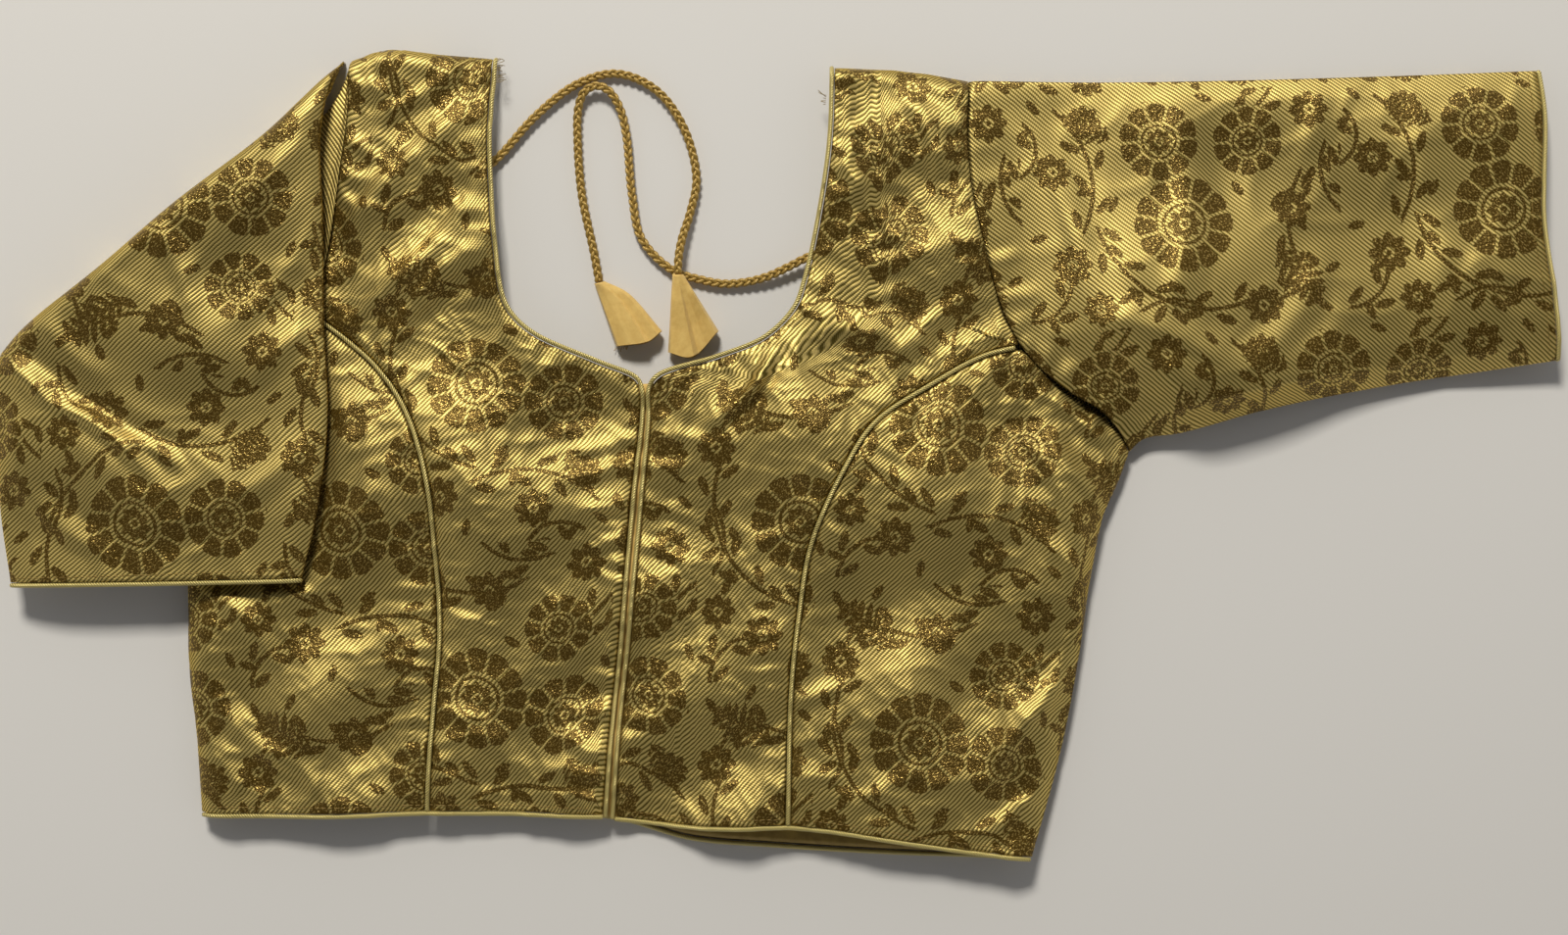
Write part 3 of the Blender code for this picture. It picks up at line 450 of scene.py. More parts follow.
fern.links.new(ink.outputs[0], result.inputs[0])
print("motifs drawn:", [group.name for group in bpy.data.node_groups])

# %% [markdown]
# The repeat itself is a table of places. Stems are arcs of circles, and a loop sets leaves along
# them, to the left and right in turn. All leaves are ellipses, so the smallest of their distances
# tells whether a thread lies in any of them.

# %% The repeat
REPEAT = (116.0, 154.0)
REPEAT_LOW = (-50.0, -77.0)
# Place, radius, petals
ROSETTES = ((0.0, 0.0, 24.0, 12.0), (42.0, 9.0, 19.0, 10.0), (39.5, -34.0, 16.5, 10.0))
FLOWERS = ((-18.0, 55.0, 10.0), (28.0, 61.0, 9.4), (53.0, -64.0, 9.6), (-40.0, 43.0, 8.6),
           (6.0, -53.0, 9.6), (-41.0, -36.0, 9.8), (53.0, 44.0, 8.4))
# Foot, the way it grows, length, half width
FERNS = ((-14.0, -45.0, 215.0, 34.0, 11.0), (44.0, 32.0, 62.0, 26.0, 8.0))
# Stems: centre, radius, first and last angle
STEMS = ((10.0, -10.0, 52.0, 100.0, 205.0), (22.0, 92.0, 50.0, 240.0, 318.0),
         (-2.0, -97.0, 46.0, 55.0, 122.0), (84.0, -16.0, 36.0, 200.0, 250.0),
         (-64.0, 8.0, 27.0, -38.0, 38.0), (-24.0, 76.0, 20.0, 175.0, 285.0),
         (24.0, -96.0, 28.0, 62.0, 140.0), (40.0, 84.0, 16.0, 190.0, 320.0),
         (-64.0, -60.0, 30.0, -12.0, 44.0))
STEM = 1.05
# Buds: place and the way they point, single or in threes
BUDS = ((-46.0, 66.0, 20.0), (-4.0, 70.0, 100.0), (62.0, -14.0, 70.0), (26.0, -71.0, 10.0),
        (-43.0, -66.0, 60.0), (12.0, 33.0, 150.0), (-24.0, -71.0, 120.0), (60.0, 68.0, 40.0),
        (-33.0, 26.0, 65.0), (-36.0, 31.0, 120.0), (17.0, -28.0, 30.0), (18.0, 46.0, 95.0),
        (60.0, 12.0, 80.0), (-12.0, 34.0, 40.0), (46.0, 74.0, 130.0), (64.0, -36.0, 110.0))
LEAF = (5.2, 2.2)
LEAF_STEP = 10.4
BUD = (4.2, 2.0)


def shifted(tree, place, cosine, sine, x, y, unit):
    """A coordinate along a direction, from (x, y) and in a unit: the place's third part is 1."""
    row = (cosine / unit, sine / unit, -(x * cosine + y * sine) / unit)
    return add(tree, "VectorMath", [place, row], operation="DOT_PRODUCT")


repeat, given, result = new_group("brocade_repeat", ())
split = add(repeat, "SeparateXYZ", [given.outputs[0]])
column = add(repeat, "Math", [split.outputs["X"], -REPEAT_LOW[0]], operation="ADD")
column = add(repeat, "Math", [column, REPEAT[0]], operation="DIVIDE")
column = add(repeat, "Math", [column], operation="FLOOR")
drop = add(repeat, "Math", [column, 1.0], operation="PINGPONG")
drop = add(repeat, "Math", [drop, REPEAT[1] / 2, split.outputs["Y"]], operation="MULTIPLY_ADD")
x = add(repeat, "Math", [split.outputs["X"], REPEAT_LOW[0] + REPEAT[0], REPEAT_LOW[0]], operation="WRAP")
y = add(repeat, "Math", [drop, REPEAT_LOW[1] + REPEAT[1], REPEAT_LOW[1]], operation="WRAP")
place = add(repeat, "CombineXYZ", [x, y, 1.0])

leaves = [(x, y, way) + BUD for x, y, way in BUDS]
ink = 0.0
for cx, cy, size, first, last in STEMS:
    way = math.radians((first + last) / 2)
    reach = size * math.cos(math.radians((last - first) / 2))
    on_ring = add(repeat, "VectorMath", [place, (cx, cy, 1.0)], operation="DISTANCE")
    on_ring = add(repeat, "Math", [on_ring, size, STEM], operation="COMPARE")
    on_arc = shifted(repeat, place, math.cos(way), math.sin(way), cx, cy, reach)
    on_arc = add(repeat, "Math", [on_arc, 1.0], operation="GREATER_THAN")
    stem = add(repeat, "Math", [on_ring, on_arc], operation="MULTIPLY")
    ink = add(repeat, "Math", [ink, stem], operation="MAXIMUM")
    step = math.degrees(LEAF_STEP / size)
    for k in range(int((last - first) / step)):
        turn = math.radians(first + (k + 0.6) * step)
        out = size + (5.4 if k % 2 else -5.4)
        leaves.append((cx + out * math.cos(turn), cy + out * math.sin(turn),
                       math.degrees(turn) + (60 if k % 2 else 125)) + LEAF)
nearest = 9.0
for x, y, way, half_length, half_width in leaves:
    cosine, sine = math.cos(math.radians(way)), math.sin(math.radians(way))
    ahead = shifted(repeat, place, cosine, sine, x, y, half_length)
    ahead = add(repeat, "Math", [ahead, ahead], operation="MULTIPLY")
    aside = shifted(repeat, place, -sine, cosine, x, y, half_width)
    far = add(repeat, "Math", [aside, aside, ahead], operation="MULTIPLY_ADD")
    nearest = add(repeat, "Math", [nearest, far], operation="MINIMUM")
leaf_ink = add(repeat, "Math", [nearest, 1.0], operation="LESS_THAN")
ink = add(repeat, "Math", [ink, leaf_ink], operation="MAXIMUM")
for x, y, way, length, half in FERNS:
    cosine, sine = math.cos(math.radians(way)), math.sin(math.radians(way))
    ahead = shifted(repeat, place, cosine, sine, x, y, length)
    aside = shifted(repeat, place, -sine, cosine, x, y, half)
    here = add(repeat, "CombineXYZ", [ahead, aside, 0.0])
    motif = add(repeat, "Group", [here, 14.0], node_tree=fern)
    ink = add(repeat, "Math", [ink, motif], operation="MAXIMUM")
for x, y, size in FLOWERS:
    here = add(repeat, "VectorMath", [place, (x, y, 1.0)], operation="SUBTRACT")
    motif = add(repeat, "Group", [here, size, 8.0], node_tree=star_flower)
    ink = add(repeat, "Math", [ink, motif], operation="MAXIMUM")
for x, y, size, petals in ROSETTES:
    here = add(repeat, "VectorMath", [place, (x, y, 1.0)], operation="SUBTRACT")
    motif = add(repeat, "Group", [here, size, petals], node_tree=rosette)
    ink = add(repeat, "Math", [ink, motif.outputs["Clear"]], operation="MULTIPLY")
    ink = add(repeat, "Math", [ink, motif.outputs["Ink"]], operation="MAXIMUM")
repeat.links.new(ink.outputs[0], result.inputs[0])
print("one repeat holds", len(ROSETTES), "rosettes,", len(FLOWERS), "flowers and", len(leaves), "leaves")

# %% [markdown]
# ## The brocade
# The ground is a silk twill, whose ribs run up to the right at about 47 degrees. They are 1.6 mm
# apart, and are drawn 1.7 mm apart so that they show. Its silk is smooth and hard-spun, so it shines
# like metal along folds that tip towards the light, and goes dark elsewhere. Its gold is also painted
# darker in the grooves between the ribs, as painted shade, and lighter on their crests, as painted
# highlight. The motif thread is a flat brown metallic yarn, laid looser. Where light falls on it,
# single floats flash as light gold, because each lies at its own tilt; scattered grains of it are
# also painted light gold and made fully metallic, as painted glints. The bump makes both as well:
# sine ridges on the ground, and small grains on the motifs.

# %% Material: silk brocade
RIB = 1.7
RIB_ANGLE = 47.0
# The twill's gold: painted shade in the rib grooves, painted highlight on the rib crests.
RIB_GOLD_PAINTED_SHADE, RIB_GOLD_PAINTED_LIGHT = "#665822", "#d9c075"
# The motif yarn's own brown, and the light gold of its painted glints.
YARN_DARK, YARN_PAINTED_GLINT = "#554013", "#dcbb69"


def brocade_material(name, figured=True, grow=1.0):
    """Silk twill, with floating metallic yarn in its motifs where it is figured.

    The stems grow up the cloth, or down it where grow is -1.
    """
    material, tree, shader = new_material(name, Specular_Tint=linear("#ffe9b0"))
    cloth = add(tree, "UVMap", uv_map="cloth")
    place = add(tree, "VectorMath", {0: cloth, "Scale": 1 / MM}, operation="SCALE")
    ragged = add(tree, "TexNoise", {"Vector": place, "Scale": 0.9, "Detail": 0.0},
                 noise_dimensions="2D")
    ragged = add(tree, "VectorMath", [ragged.outputs["Color"], (0.5, 0.5, 0.5)], operation="SUBTRACT")
    ragged = add(tree, "VectorMath", {0: ragged, 1: (0.8, 0.8, 0.0), 2: place},
                 operation="MULTIPLY_ADD")
    turned = add(tree, "VectorMath", [ragged, (1.0, grow, 1.0)], operation="MULTIPLY")
    motif = add(tree, "Group", [turned], node_tree=repeat)
    ink = add(tree, "Math", [motif, float(figured)], operation="MULTIPLY")

    way = math.radians(RIB_ANGLE)
    across = add(tree, "VectorMath", [place, (-math.sin(way), math.cos(way), 0.0)],
                 operation="DOT_PRODUCT")
    wobble = add(tree, "TexNoise", {"Vector": place, "Scale": 0.12, "Detail": 1.0},
                 noise_dimensions="2D")
    across = add(tree, "Math", [wobble.outputs[0], 0.8, across], operation="MULTIPLY_ADD")
    ribs = add(tree, "Math", [across, 2 * math.pi / RIB], operation="MULTIPLY")
    ribs = add(tree, "Math", [ribs], operation="SINE")
    along = add(tree, "VectorMath", [place, (math.cos(way), math.sin(way), 0.0)],
                operation="DOT_PRODUCT")
    floats = add(tree, "Math", [along, 2 * math.pi / 1.1], operation="MULTIPLY")
    floats = add(tree, "Math", [across, 1.9, floats], operation="MULTIPLY_ADD")
    floats = add(tree, "Math", [floats], operation="SINE")
    weave = add(tree, "Math", [floats, 0.22, ribs], operation="MULTIPLY_ADD")

    grain_place = add(tree, "CombineXYZ", [along, across, 0.0])
    grain_place = add(tree, "VectorMath", [grain_place, (0.75, 1.5, 1.0)], operation="MULTIPLY")
    grain = add(tree, "TexNoise", {"Vector": grain_place, "Scale": 1.0, "Detail": 1.0,
                                   "Roughness": 0.7}, noise_dimensions="2D")
    cloud = add(tree, "TexNoise", {"Vector": place, "Scale": 0.018, "Detail": 2.0},
                noise_dimensions="2D")

    # Painted shade and painted highlight: the rib colour follows the rib bump's height.
    rib_shade = add(tree, "MapRange", [weave, -0.9, 0.5, 0.0, 1.0])
    ground = add(tree, "Mix", {0: rib_shade, 6: linear(RIB_GOLD_PAINTED_SHADE), 7: linear(RIB_GOLD_PAINTED_LIGHT)},
                 data_type="RGBA")
    # Painted glints: grains of the motif yarn turned light gold and fully metallic.
    spark = add(tree, "MapRange", [grain.outputs[0], 0.58, 0.7, 0.0, 1.0])
    yarn = add(tree, "Mix", {0: spark, 6: linear(YARN_DARK), 7: linear(YARN_PAINTED_GLINT)},
               data_type="RGBA")
    colour = add(tree, "Mix", {0: ink, 6: ground.outputs[2], 7: yarn.outputs[2]}, data_type="RGBA")
    tint = add(tree, "MapRange", [cloud.outputs[0], 0.3, 0.7, 0.9, 1.1])
    colour = add(tree, "VectorMath", {0: colour.outputs[2], "Scale": tint}, operation="SCALE")
    tree.links.new(colour.outputs[0], shader.inputs["Base Color"])

    roughness = add(tree, "MapRange", [ink, 0.0, 1.0, 0.53, 0.34])
    tree.links.new(roughness.outputs[0], shader.inputs["Roughness"])
    gilt = add(tree, "MapRange", [spark, 0.0, 1.0, 0.45, 1.0])
    metal = add(tree, "Mix", {0: ink, 2: 0.92, 3: gilt}, data_type="FLOAT")
    tree.links.new(metal.outputs[0], shader.inputs["Metallic"])
    ground_bump = add(tree, "Bump", {"Strength": 0.85, "Distance": 0.065 * MM, "Height": weave})
    yarn_bump = add(tree, "Bump", {"Strength": 0.85, "Distance": 0.4 * MM, "Height": grain.outputs[0]})
    bump = add(tree, "Mix", {0: ink, 4: ground_bump, 5: yarn_bump}, data_type="VECTOR")
    tree.links.new(bump.outputs[1], shader.inputs["Normal"])
    return material


sleeve_brocade = brocade_material("gold_silk_brocade")
bodice_brocade = brocade_material("gold_silk_brocade_cut_the_other_way", grow=-1.0)
plain_twill = brocade_material("gold_silk_twill_without_motifs", figured=False)
print("brocade nodes:", sum(len(g.nodes) for g in bpy.data.node_groups))

# %% [markdown]
# ## Plain cloths
# Four plain cloths go with the brocade. The piping is a cord covered with greenish gold satin cut on
# the bias, so its ribs run round it at a slant and read as a fine rope. Its colour is painted darker
# between the ribs, as painted shade, and lighter on them, as painted highlight. The placket and the
# tie cords' cones are a pale yellow cotton, matt and lightly mottled. The back hem's facing is a
# darker gold satin. The sewing thread is a dull gold.

# %% Materials: piping, cotton, facing, thread
piping_satin, tree, shader = new_material("greenish_gold_bias_satin", Roughness=0.36, Metallic=0.35)
cloth = add(tree, "UVMap", uv_map="cloth")
split = add(tree, "SeparateXYZ", [cloth])
slant = add(tree, "Math", [split.outputs["X"], 0.8, split.outputs["Y"]], operation="MULTIPLY_ADD")
turns = add(tree, "Math", [slant, 2 * math.pi / (1.3 * MM)], operation="MULTIPLY")
turns = add(tree, "Math", [turns], operation="SINE")
# Painted shade between the piping's slanted ribs and painted highlight on them, following the rib bump.
shade = add(tree, "MapRange", [turns, -1.0, 0.6, 0.0, 1.0])
colour = add(tree, "Mix", {0: shade, 6: linear("#78662a"), 7: linear("#e4d182")}, data_type="RGBA")
bump = add(tree, "Bump", {"Strength": 0.7, "Distance": 0.16 * MM, "Height": turns})
tree.links.new(colour.outputs[2], shader.inputs["Base Color"])
tree.links.new(bump.outputs[0], shader.inputs["Normal"])


def plain_cloth(name, light, dark, roughness, metallic, thread):
    """A plain weave: two crossing sine ridges a thread apart, and a faint uneven tone."""
    material, tree, shader = new_material(name, Roughness=roughness, Metallic=metallic,
                                          Sheen_Weight=0.15)
    cloth = add(tree, "UVMap", uv_map="cloth")
    split = add(tree, "SeparateXYZ", [cloth])
    waves = []
    for axis in ("X", "Y"):
        wave = add(tree, "Math", [split.outputs[axis], 2 * math.pi / (thread * MM)], operation="MULTIPLY")
        waves.append(add(tree, "Math", [wave], operation="SINE"))
    weave = add(tree, "Math", waves, operation="MULTIPLY")
    mottle = add(tree, "TexNoise", {"Vector": cloth, "Scale": 260.0, "Detail": 4.0, "Roughness": 0.65})
    shade = add(tree, "MapRange", [mottle.outputs[0], 0.35, 0.65, 0.0, 1.0])
    colour = add(tree, "Mix", {0: shade, 6: linear(dark), 7: linear(light)}, data_type="RGBA")
    bump = add(tree, "Bump", {"Strength": 0.5, "Distance": 0.06 * MM, "Height": weave})
    tree.links.new(colour.outputs[2], shader.inputs["Base Color"])
    tree.links.new(bump.outputs[0], shader.inputs["Normal"])
    return material


pale_cotton = plain_cloth("pale_yellow_cotton", "#dcb866", "#d0a957", 0.72, 0.0, 0.6)
facing_satin = plain_cloth("dark_gold_satin", "#a88a3c", "#92752c", 0.45, 0.2, 0.5)
thread = new_material("dull_gold_sewing_thread", Base_Color=linear("#8a6f2c"), Roughness=0.5)[0]

# %% [markdown]
# ## The cut
# These are the seam lines of the blouse as it lies, the same as the frame's. Two panels that are
# sewn together share a line. The piping lies in the seam, so each panel stops short of it.

# %% Seam tables
CLOTH = 1.3
BACK_CLOTH = 1.2
SLEEVE_CLOTH = 1.2
PLAIN_CLOTH = 1.0
THIN = 0.9            # wall of the shells, which are the cloth without its seam turnings
GAP = 0.3
PIPING = 2.2
BULK = 6.6            # seam turnings and air between back and fronts
SIDE_ROUND = 13.0     # width over which the fronts round down at the sides
SHOULDER_ROUND = 7.0
LIFT_WIDTH = 34.0     # width over which the back lifts at its side seams
SLEEVE_EDGE = 3.1     # half thickness of a sleeve's folded edge
FLAP_HEIGHT = 9.2     # thickness of the folded sleeve
FLAP_SLOPE = 0.03     # how it sinks past the bodice's side
FOLD_RIM = 9.0        # width of its rolled turn
SLEEVE_SAG = 6.0
UNDER_CLEAR = 1.5
SEAM = PIPING / 2 + GAP
CREASE_RELIEF = 1.6   # how much higher the creases stand than their tables say
PUCKER_RELIEF = 1.3   # and the puckers
AT_ARMHOLE = 0.22     # share of the spread sleeve's folds that is left where it is sewn in
LOOP_STEP = 0.9       # between the points of a sleeve's piping

SHOULDER_LEFT = ((-205.2, 189.4), (-191.5, 194.1), (-179.8, 194.6), (-163.3, 192.4), (-135.8, 190.2))
SHOULDER_RIGHT = ((26.1, 186.1), (55.7, 184.9), (72.6, 183.0), (91.9, 179.5))
ARMHOLE_LEFT_UPPER = ((-205.2, 189.4), (-206.6, 158.9), (-209.4, 137.7), (-212.2, 116.6),
                      (-215.5, 97.0), (-223.5, 67.0))
ARMHOLE_LEFT_LOWER = ((-223.5, 67.0), (-231.0, 54.0), (-241.0, 43.0), (-256.0, 31.0), (-296.0, 6.0))
ARMHOLE_RIGHT_UPPER = ((91.9, 179.5), (90.6, 158.0), (93.3, 125.0), (99.2, 97.3), (108.3, 66.9),
                       (116.3, 51.2))
ARMHOLE_RIGHT_LOWER = ((116.3, 51.2), (125.5, 40.6), (141.2, 28.2), (154.5, 20.5), (163.8, 10.3),
                       (169.0, 0.9))
PRINCESS_LEFT = ((-223.5, 67.0), (-205.2, 53.1), (-191.5, 40.4), (-176.5, 17.9), (-167.3, -12.2),
                 (-164.0, -47.5), (-162.2, -88.0), (-164.7, -120.0), (-168.0, -172.3))
PRINCESS_RIGHT = ((116.3, 51.2), (99.2, 47.1), (72.6, 32.6), (46.3, 14.8), (31.7, -7.1), (16.2, -43.0),
                  (10.0, -79.3), (6.6, -112.3), (4.9, -179.0))
NECK_LEFT = ((-135.8, 190.2), (-137.9, 149.5), (-135.8, 109.0), (-131.1, 74.0), (-125.0, 64.6),
             (-114.4, 56.4), (-85.8, 44.2), (-67.6, 36.4), (-65.0, 31.0), (-65.0, 17.0),
             (-68.9, -19.7), (-74.5, -85.9), (-78.2, -120.0), (-82.7, -174.3))
NECK_RIGHT = ((26.1, 186.1), (24.7, 149.5), (18.6, 109.0), (12.5, 82.3), (7.8, 70.0), (-6.3, 55.9),
              (-29.4, 46.5), (-57.1, 37.6), (-61.6, 31.6), (-61.9, 17.0), (-65.3, -19.7),
              (-71.2, -85.9), (-75.0, -120.0), (-79.4, -175.3))
SIDE_LEFT = ((-296.0, 6.0), (-286.5, -40.0), (-284.0, -62.5), (-283.2, -101.5), (-279.4, -137.7),
             (-277.0, -173.4))
SIDE_RIGHT = ((169.0, 0.9), (163.3, -14.3), (156.3, -30.1), (149.7, -63.3), (144.7, -97.8),
              (135.4, -145.2), (121.5, -194.2))
HEM_LEFT_SIDE = ((-277.0, -173.4), (-220.2, -173.4), (-168.0, -172.3))
HEM_LEFT_CENTRE = ((-168.0, -172.3), (-125.0, -172.8), (-82.7, -174.3))
HEM_RIGHT_CENTRE = ((-79.4, -175.3), (-63.4, -177.5), (-43.9, -179.0), (4.9, -179.0))
HEM_RIGHT_SIDE = ((4.9, -179.0), (28.9, -181.2), (74.0, -188.0), (121.5, -194.2))
HEM_BACK = ((-277.0, -173.4), (-168.0, -171.8), (-110.0, -172.5), (-75.0, -176.5), (-41.6, -185.7),
            (-1.2, -189.2), (59.0, -192.7), (121.5, -194.2))
NECK_BACK = ((-139.8, 183.0), (-142.0, 150.0), (-141.0, 105.0), (-136.0, 70.0), (-112.0, 30.0),
             (-62.0, 12.0), (-12.0, 28.0), (18.0, 66.0), (26.5, 105.0), (29.5, 150.0), (30.4, 179.0))
SLEEVE_RIGHT_TOP = ((91.9, 179.5), (154.9, 179.0), (222.1, 180.0), (308.6, 182.5), (365.4, 184.6))
SLEEVE_RIGHT_HEM = ((365.4, 184.6), (366.4, 160.5), (364.0, 112.5), (368.7, 76.1), (372.4, 44.5))
SLEEVE_RIGHT_BOTTOM = ((169.0, 0.9), (176.0, 7.0), (193.4, 9.9), (231.7, 20.4), (289.3, 32.0),
                       (346.6, 40.6), (372.4, 44.5))
# Along the spread sleeve: part of its length, heights of its upper and lower fold, and bulge
SLEEVE_RIGHT_SECTIONS = ((0.00, 3.1, 5.5, 2.0), (0.18, 3.1, 11.5, 2.5), (0.45, 3.1, 6.0, 3.5),
                         (0.75, 3.1, 4.5, 3.0), (1.00, 3.4, 10.0, 2.5))
TURN_LEFT = ((-209.0, 189.3), (-219.0, 180.6), (-245.6, 154.6), (-288.8, 121.3), (-322.7, 92.6),
             (-362.1, 61.6), (-372.4, 51.0))
FLAP_RIGHT_EDGE = ((-209.0, 189.3), (-214.5, 172.0), (-217.8, 150.4), (-216.9, 117.0),
                   (-216.2, 63.0), (-214.3, 15.0), (-219.3, -27.3), (-226.8, -59.0))
FLAP_LEFT_EDGE = ((-372.4, 51.0), (-372.9, 20.0), (-371.6, -25.0), (-366.4, -61.5))
FLAP_HEM = ((-226.8, -59.0), (-290.0, -60.4), (-366.4, -61.5))
UNDER_TOP_EDGE = ((-205.2, 189.4), (-211.5, 168.5))
UNDER_TURN = ((-211.5, 168.5), (-252.5, 128.5), (-314.0, 77.5), (-346.0, 47.0))
UNDER_BOTTOM_EDGE = ((-296.0, 6.0), (-322.0, 28.0), (-346.0, 47.0))
print(f"bust laid flat {SIDE_RIGHT[0][0] - SIDE_LEFT[0][0]:.0f} mm")

# %% [markdown]
# ## Folds
# Cloth that lies on a table never lies flat. The seams draw it up into short puckers, the bust stands
# in soft pads, and long folds run from the shoulder to the underarm. The large ones repeat the
# frame's. The creases are placed one by one, each by its two ends, its bend and its width. One side of
# a crease is steeper than the other, with a shallow trough beside it, as a real one has.

# %% Tables of folds
# Place, reach in x and y, height
FRONT_PADS = ((-150.0, -8.0, 62.0, 62.0, 5.5), (45.0, -8.0, 66.0, 66.0, 6.0),
              (135.0, -20.0, 42.0, 46.0, 2.5), (78.0, -188.0, 62.0, 52.0, 5.5),
              (-168.0, 140.0, 40.0, 46.0, 1.0), (52.0, 105.0, 40.0, 50.0, 2.5),
              (-72.0, -70.0, 22.0, 90.0, -1.6))
# From, to, half width, height
FRONT_FOLDS = ((-142.0, 172.0, -206.0, 108.0, 12.0, 1.8), (-140.0, 150.0, -200.0, 84.0, 12.0, -1.6),
               (-138.0, 118.0, -205.0, 62.0, 13.0, 1.5), (-10.0, 40.0, -36.0, 4.0, 12.0, 1.4),
               (30.0, 92.0, 92.0, 60.0, 14.0, -1.4), (118.0, 22.0, 150.0, -22.0, 11.0, 1.6),
               (140.0, -104.0, 98.0, -158.0, 13.0, 2.2), (-262.0, -98.0, -214.0, -146.0, 13.0, 1.4))
# Softer swells that the frame leaves out
FRONT_SWELLS = ((-119.0, -14.0, 50.0, 26.0, 3.4), (12.0, -12.0, 48.0, 44.0, 5.8),
                (-252.0, -174.0, 50.0, 28.0, 3.6), (-16.0, -176.0, 30.0, 26.0, 2.6),
                (62.0, 62.0, 34.0, 20.0, 2.4), (64.0, -122.0, 50.0, 28.0, 3.0),
                (-119.0, -136.0, 36.0, 26.0, 2.4), (-44.0, -108.0, 26.0, 26.0, 2.2),
                (-228.0, -98.0, 34.0, 26.0, 2.2), (62.0, 158.0, 32.0, 20.0, 3.0),
                (-190.0, 186.0, 34.0, 28.0, 3.6), (112.0, -44.0, 26.0, 30.0, 2.4))
SLEEVE_SWELLS = ((222.0, 48.0, 110.0, 68.0, 12.0), (152.0, 66.0, 40.0, 46.0, 3.4),
                 (345.0, 92.0, 40.0, 56.0, 4.0))
FLAP_SWELLS = ((-330.0, -10.0, 42.0, 30.0, 2.6), (-255.0, -46.0, 50.0, 26.0, 2.6))
FLAP_FOLDS = ((-356.0, 58.0, -222.0, 168.0, 40.0, 6.5), (-366.0, 42.0, -296.0, -26.0, 13.0, 2.2),
              (-300.0, 92.0, -250.0, 20.0, 16.0, 1.2),
              (-345.0, -22.0, -290.0, -40.0, 14.0, -1.2))
BACK_LIFTS = ((121.0, -194.0, 46.0, 5.0), (27.0, 96.0, 22.0, 3.0))
SIDE_LIFTS = ((SIDE_LEFT, 2.0), (SIDE_RIGHT, 3.6))
# From, to, bend, half width, height
FRONT_CREASES = (
    (-136.0, 171.0, -208.0, 105.0, -6.0, 4.5, 1.7),
    (-136.0, 158.0, -206.0, 96.0, -6.0, 10.0, 1.9),
    (-140.0, 112.0, -206.0, 78.0, 6.0, 9.0, 1.4),
    (-137.0, 139.0, -203.0, 66.0, 5.0, 4.0, 1.3),
    (-137.0, 106.0, -188.0, 52.0, -4.0, 4.5, 1.2),
    (-150.0, 188.0, -196.0, 160.0, 3.0, 3.5, 1.0),
    (-128.0, 62.0, -160.0, 40.0, 2.0, 4.0, 0.9),
    (-66.0, 11.0, -98.0, 2.0, 2.0, 3.2, 1.0),
    (-66.0, -4.0, -104.0, -14.0, -2.0, 3.4, 1.1),
    (-68.0, -20.0, -97.0, -27.0, 2.0, 3.0, 0.9),
    (-70.0, -36.0, -92.0, -46.0, 1.0, 3.2, 1.0),
    (-60.0, 8.0, -30.0, 3.0, 2.0, 3.2, 1.0),
    (-62.0, -10.0, -40.0, -5.0, -2.0, 3.0, 0.9),
    (-64.0, -27.0, -38.0, -32.0, 1.0, 3.0, 0.9),
    (-66.0, -45.0, -42.0, -54.0, 2.0, 3.0, 0.8),
    (-2.6, 44.6, -35.5, 13.0, 3.0, 3.0, 1.9),
    (-1.6, 50.0, -14.0, 24.0, -1.0, 2.6, 1.8),
    (-40.0, 36.0, -52.0, 6.0, 2.0, 3.0, 0.8),
    (20.0, 60.0, 74.0, 44.0, 5.0, 6.0, 1.2),
    (10.0, 44.0, 42.0, 36.0, -2.0, 9.0, -1.2),
    (31.0, 148.0, 66.0, 96.0, -6.0, 5.0, 1.3),
    (52.0, 180.0, 80.0, 122.0, 6.0, 5.0, 1.2),
    (97.0, 78.0, 48.0, 34.0, -5.0, 5.0, 1.3),
    (90.0, 150.0, 62.0, 140.0, 2.0, 4.0, 0.9),
    (84.0, 104.0, 40.0, 92.0, 4.0, 5.0, 1.0),
    (122.0, 30.0, 158.0, 2.0, 3.0, 4.0, 1.6),
    (128.0, 12.0, 154.0, -22.0, -3.0, 4.5, 1.5),
    (118.0, 8.0, 142.0, -44.0, 5.0, 5.0, 1.3),
    (142.0, -106.0, 100.0, -156.0, -6.0, 5.0, 1.8),
    (146.0, -70.0, 128.0, -112.0, 4.0, 4.5, 1.2),
    (132.0, -152.0, 92.0, -182.0, 4.0, 5.0, 1.4),
    (70.0, -150.0, 30.0, -176.0, -3.0, 4.5, 0.9),
    (-274.0, -64.0, -240.0, -104.0, 4.0, 5.0, 1.1),
    (-276.0, -108.0, -232.0, -150.0, -5.0, 5.0, 1.2),
    (-256.0, -140.0, -212.0, -166.0, 3.0, 5.0, 1.0),
    (-196.0, 20.0, -204.0, -40.0, 4.0, 4.5, 0.9),
    (-150.0, -128.0, -120.0, -160.0, 3.0, 5.0, 0.9),
    (-28.0, -104.0, -8.0, -150.0, -4.0, 5.0, 0.9),
)
SLEEVE_CREASES = (
    (112.0, 160.0, 146.0, 70.0, 8.0, 6.0, 1.4),
    (104.0, 122.0, 138.0, 44.0, -6.0, 5.0, 1.2),
    (119.0, 54.0, 146.0, 26.0, 2.0, 4.0, 1.8),
    (150.0, 24.0, 186.0, 12.0, 3.0, 4.0, 1.4),
    (190.0, 172.0, 182.0, 60.0, 9.0, 8.0, 1.2),
    (222.0, 40.0, 262.0, 96.0, -6.0, 7.0, 1.0),
    (150.0, 64.0, 214.0, 40.0, 5.0, 6.0, 1.2),
    (300.0, 150.0, 318.0, 78.0, 6.0, 8.0, 0.9),
    (352.0, 60.0, 330.0, 96.0, 3.0, 6.0, 0.9),
    (258.0, 176.0, 250.0, 140.0, 3.0, 6.0, 0.8),
)
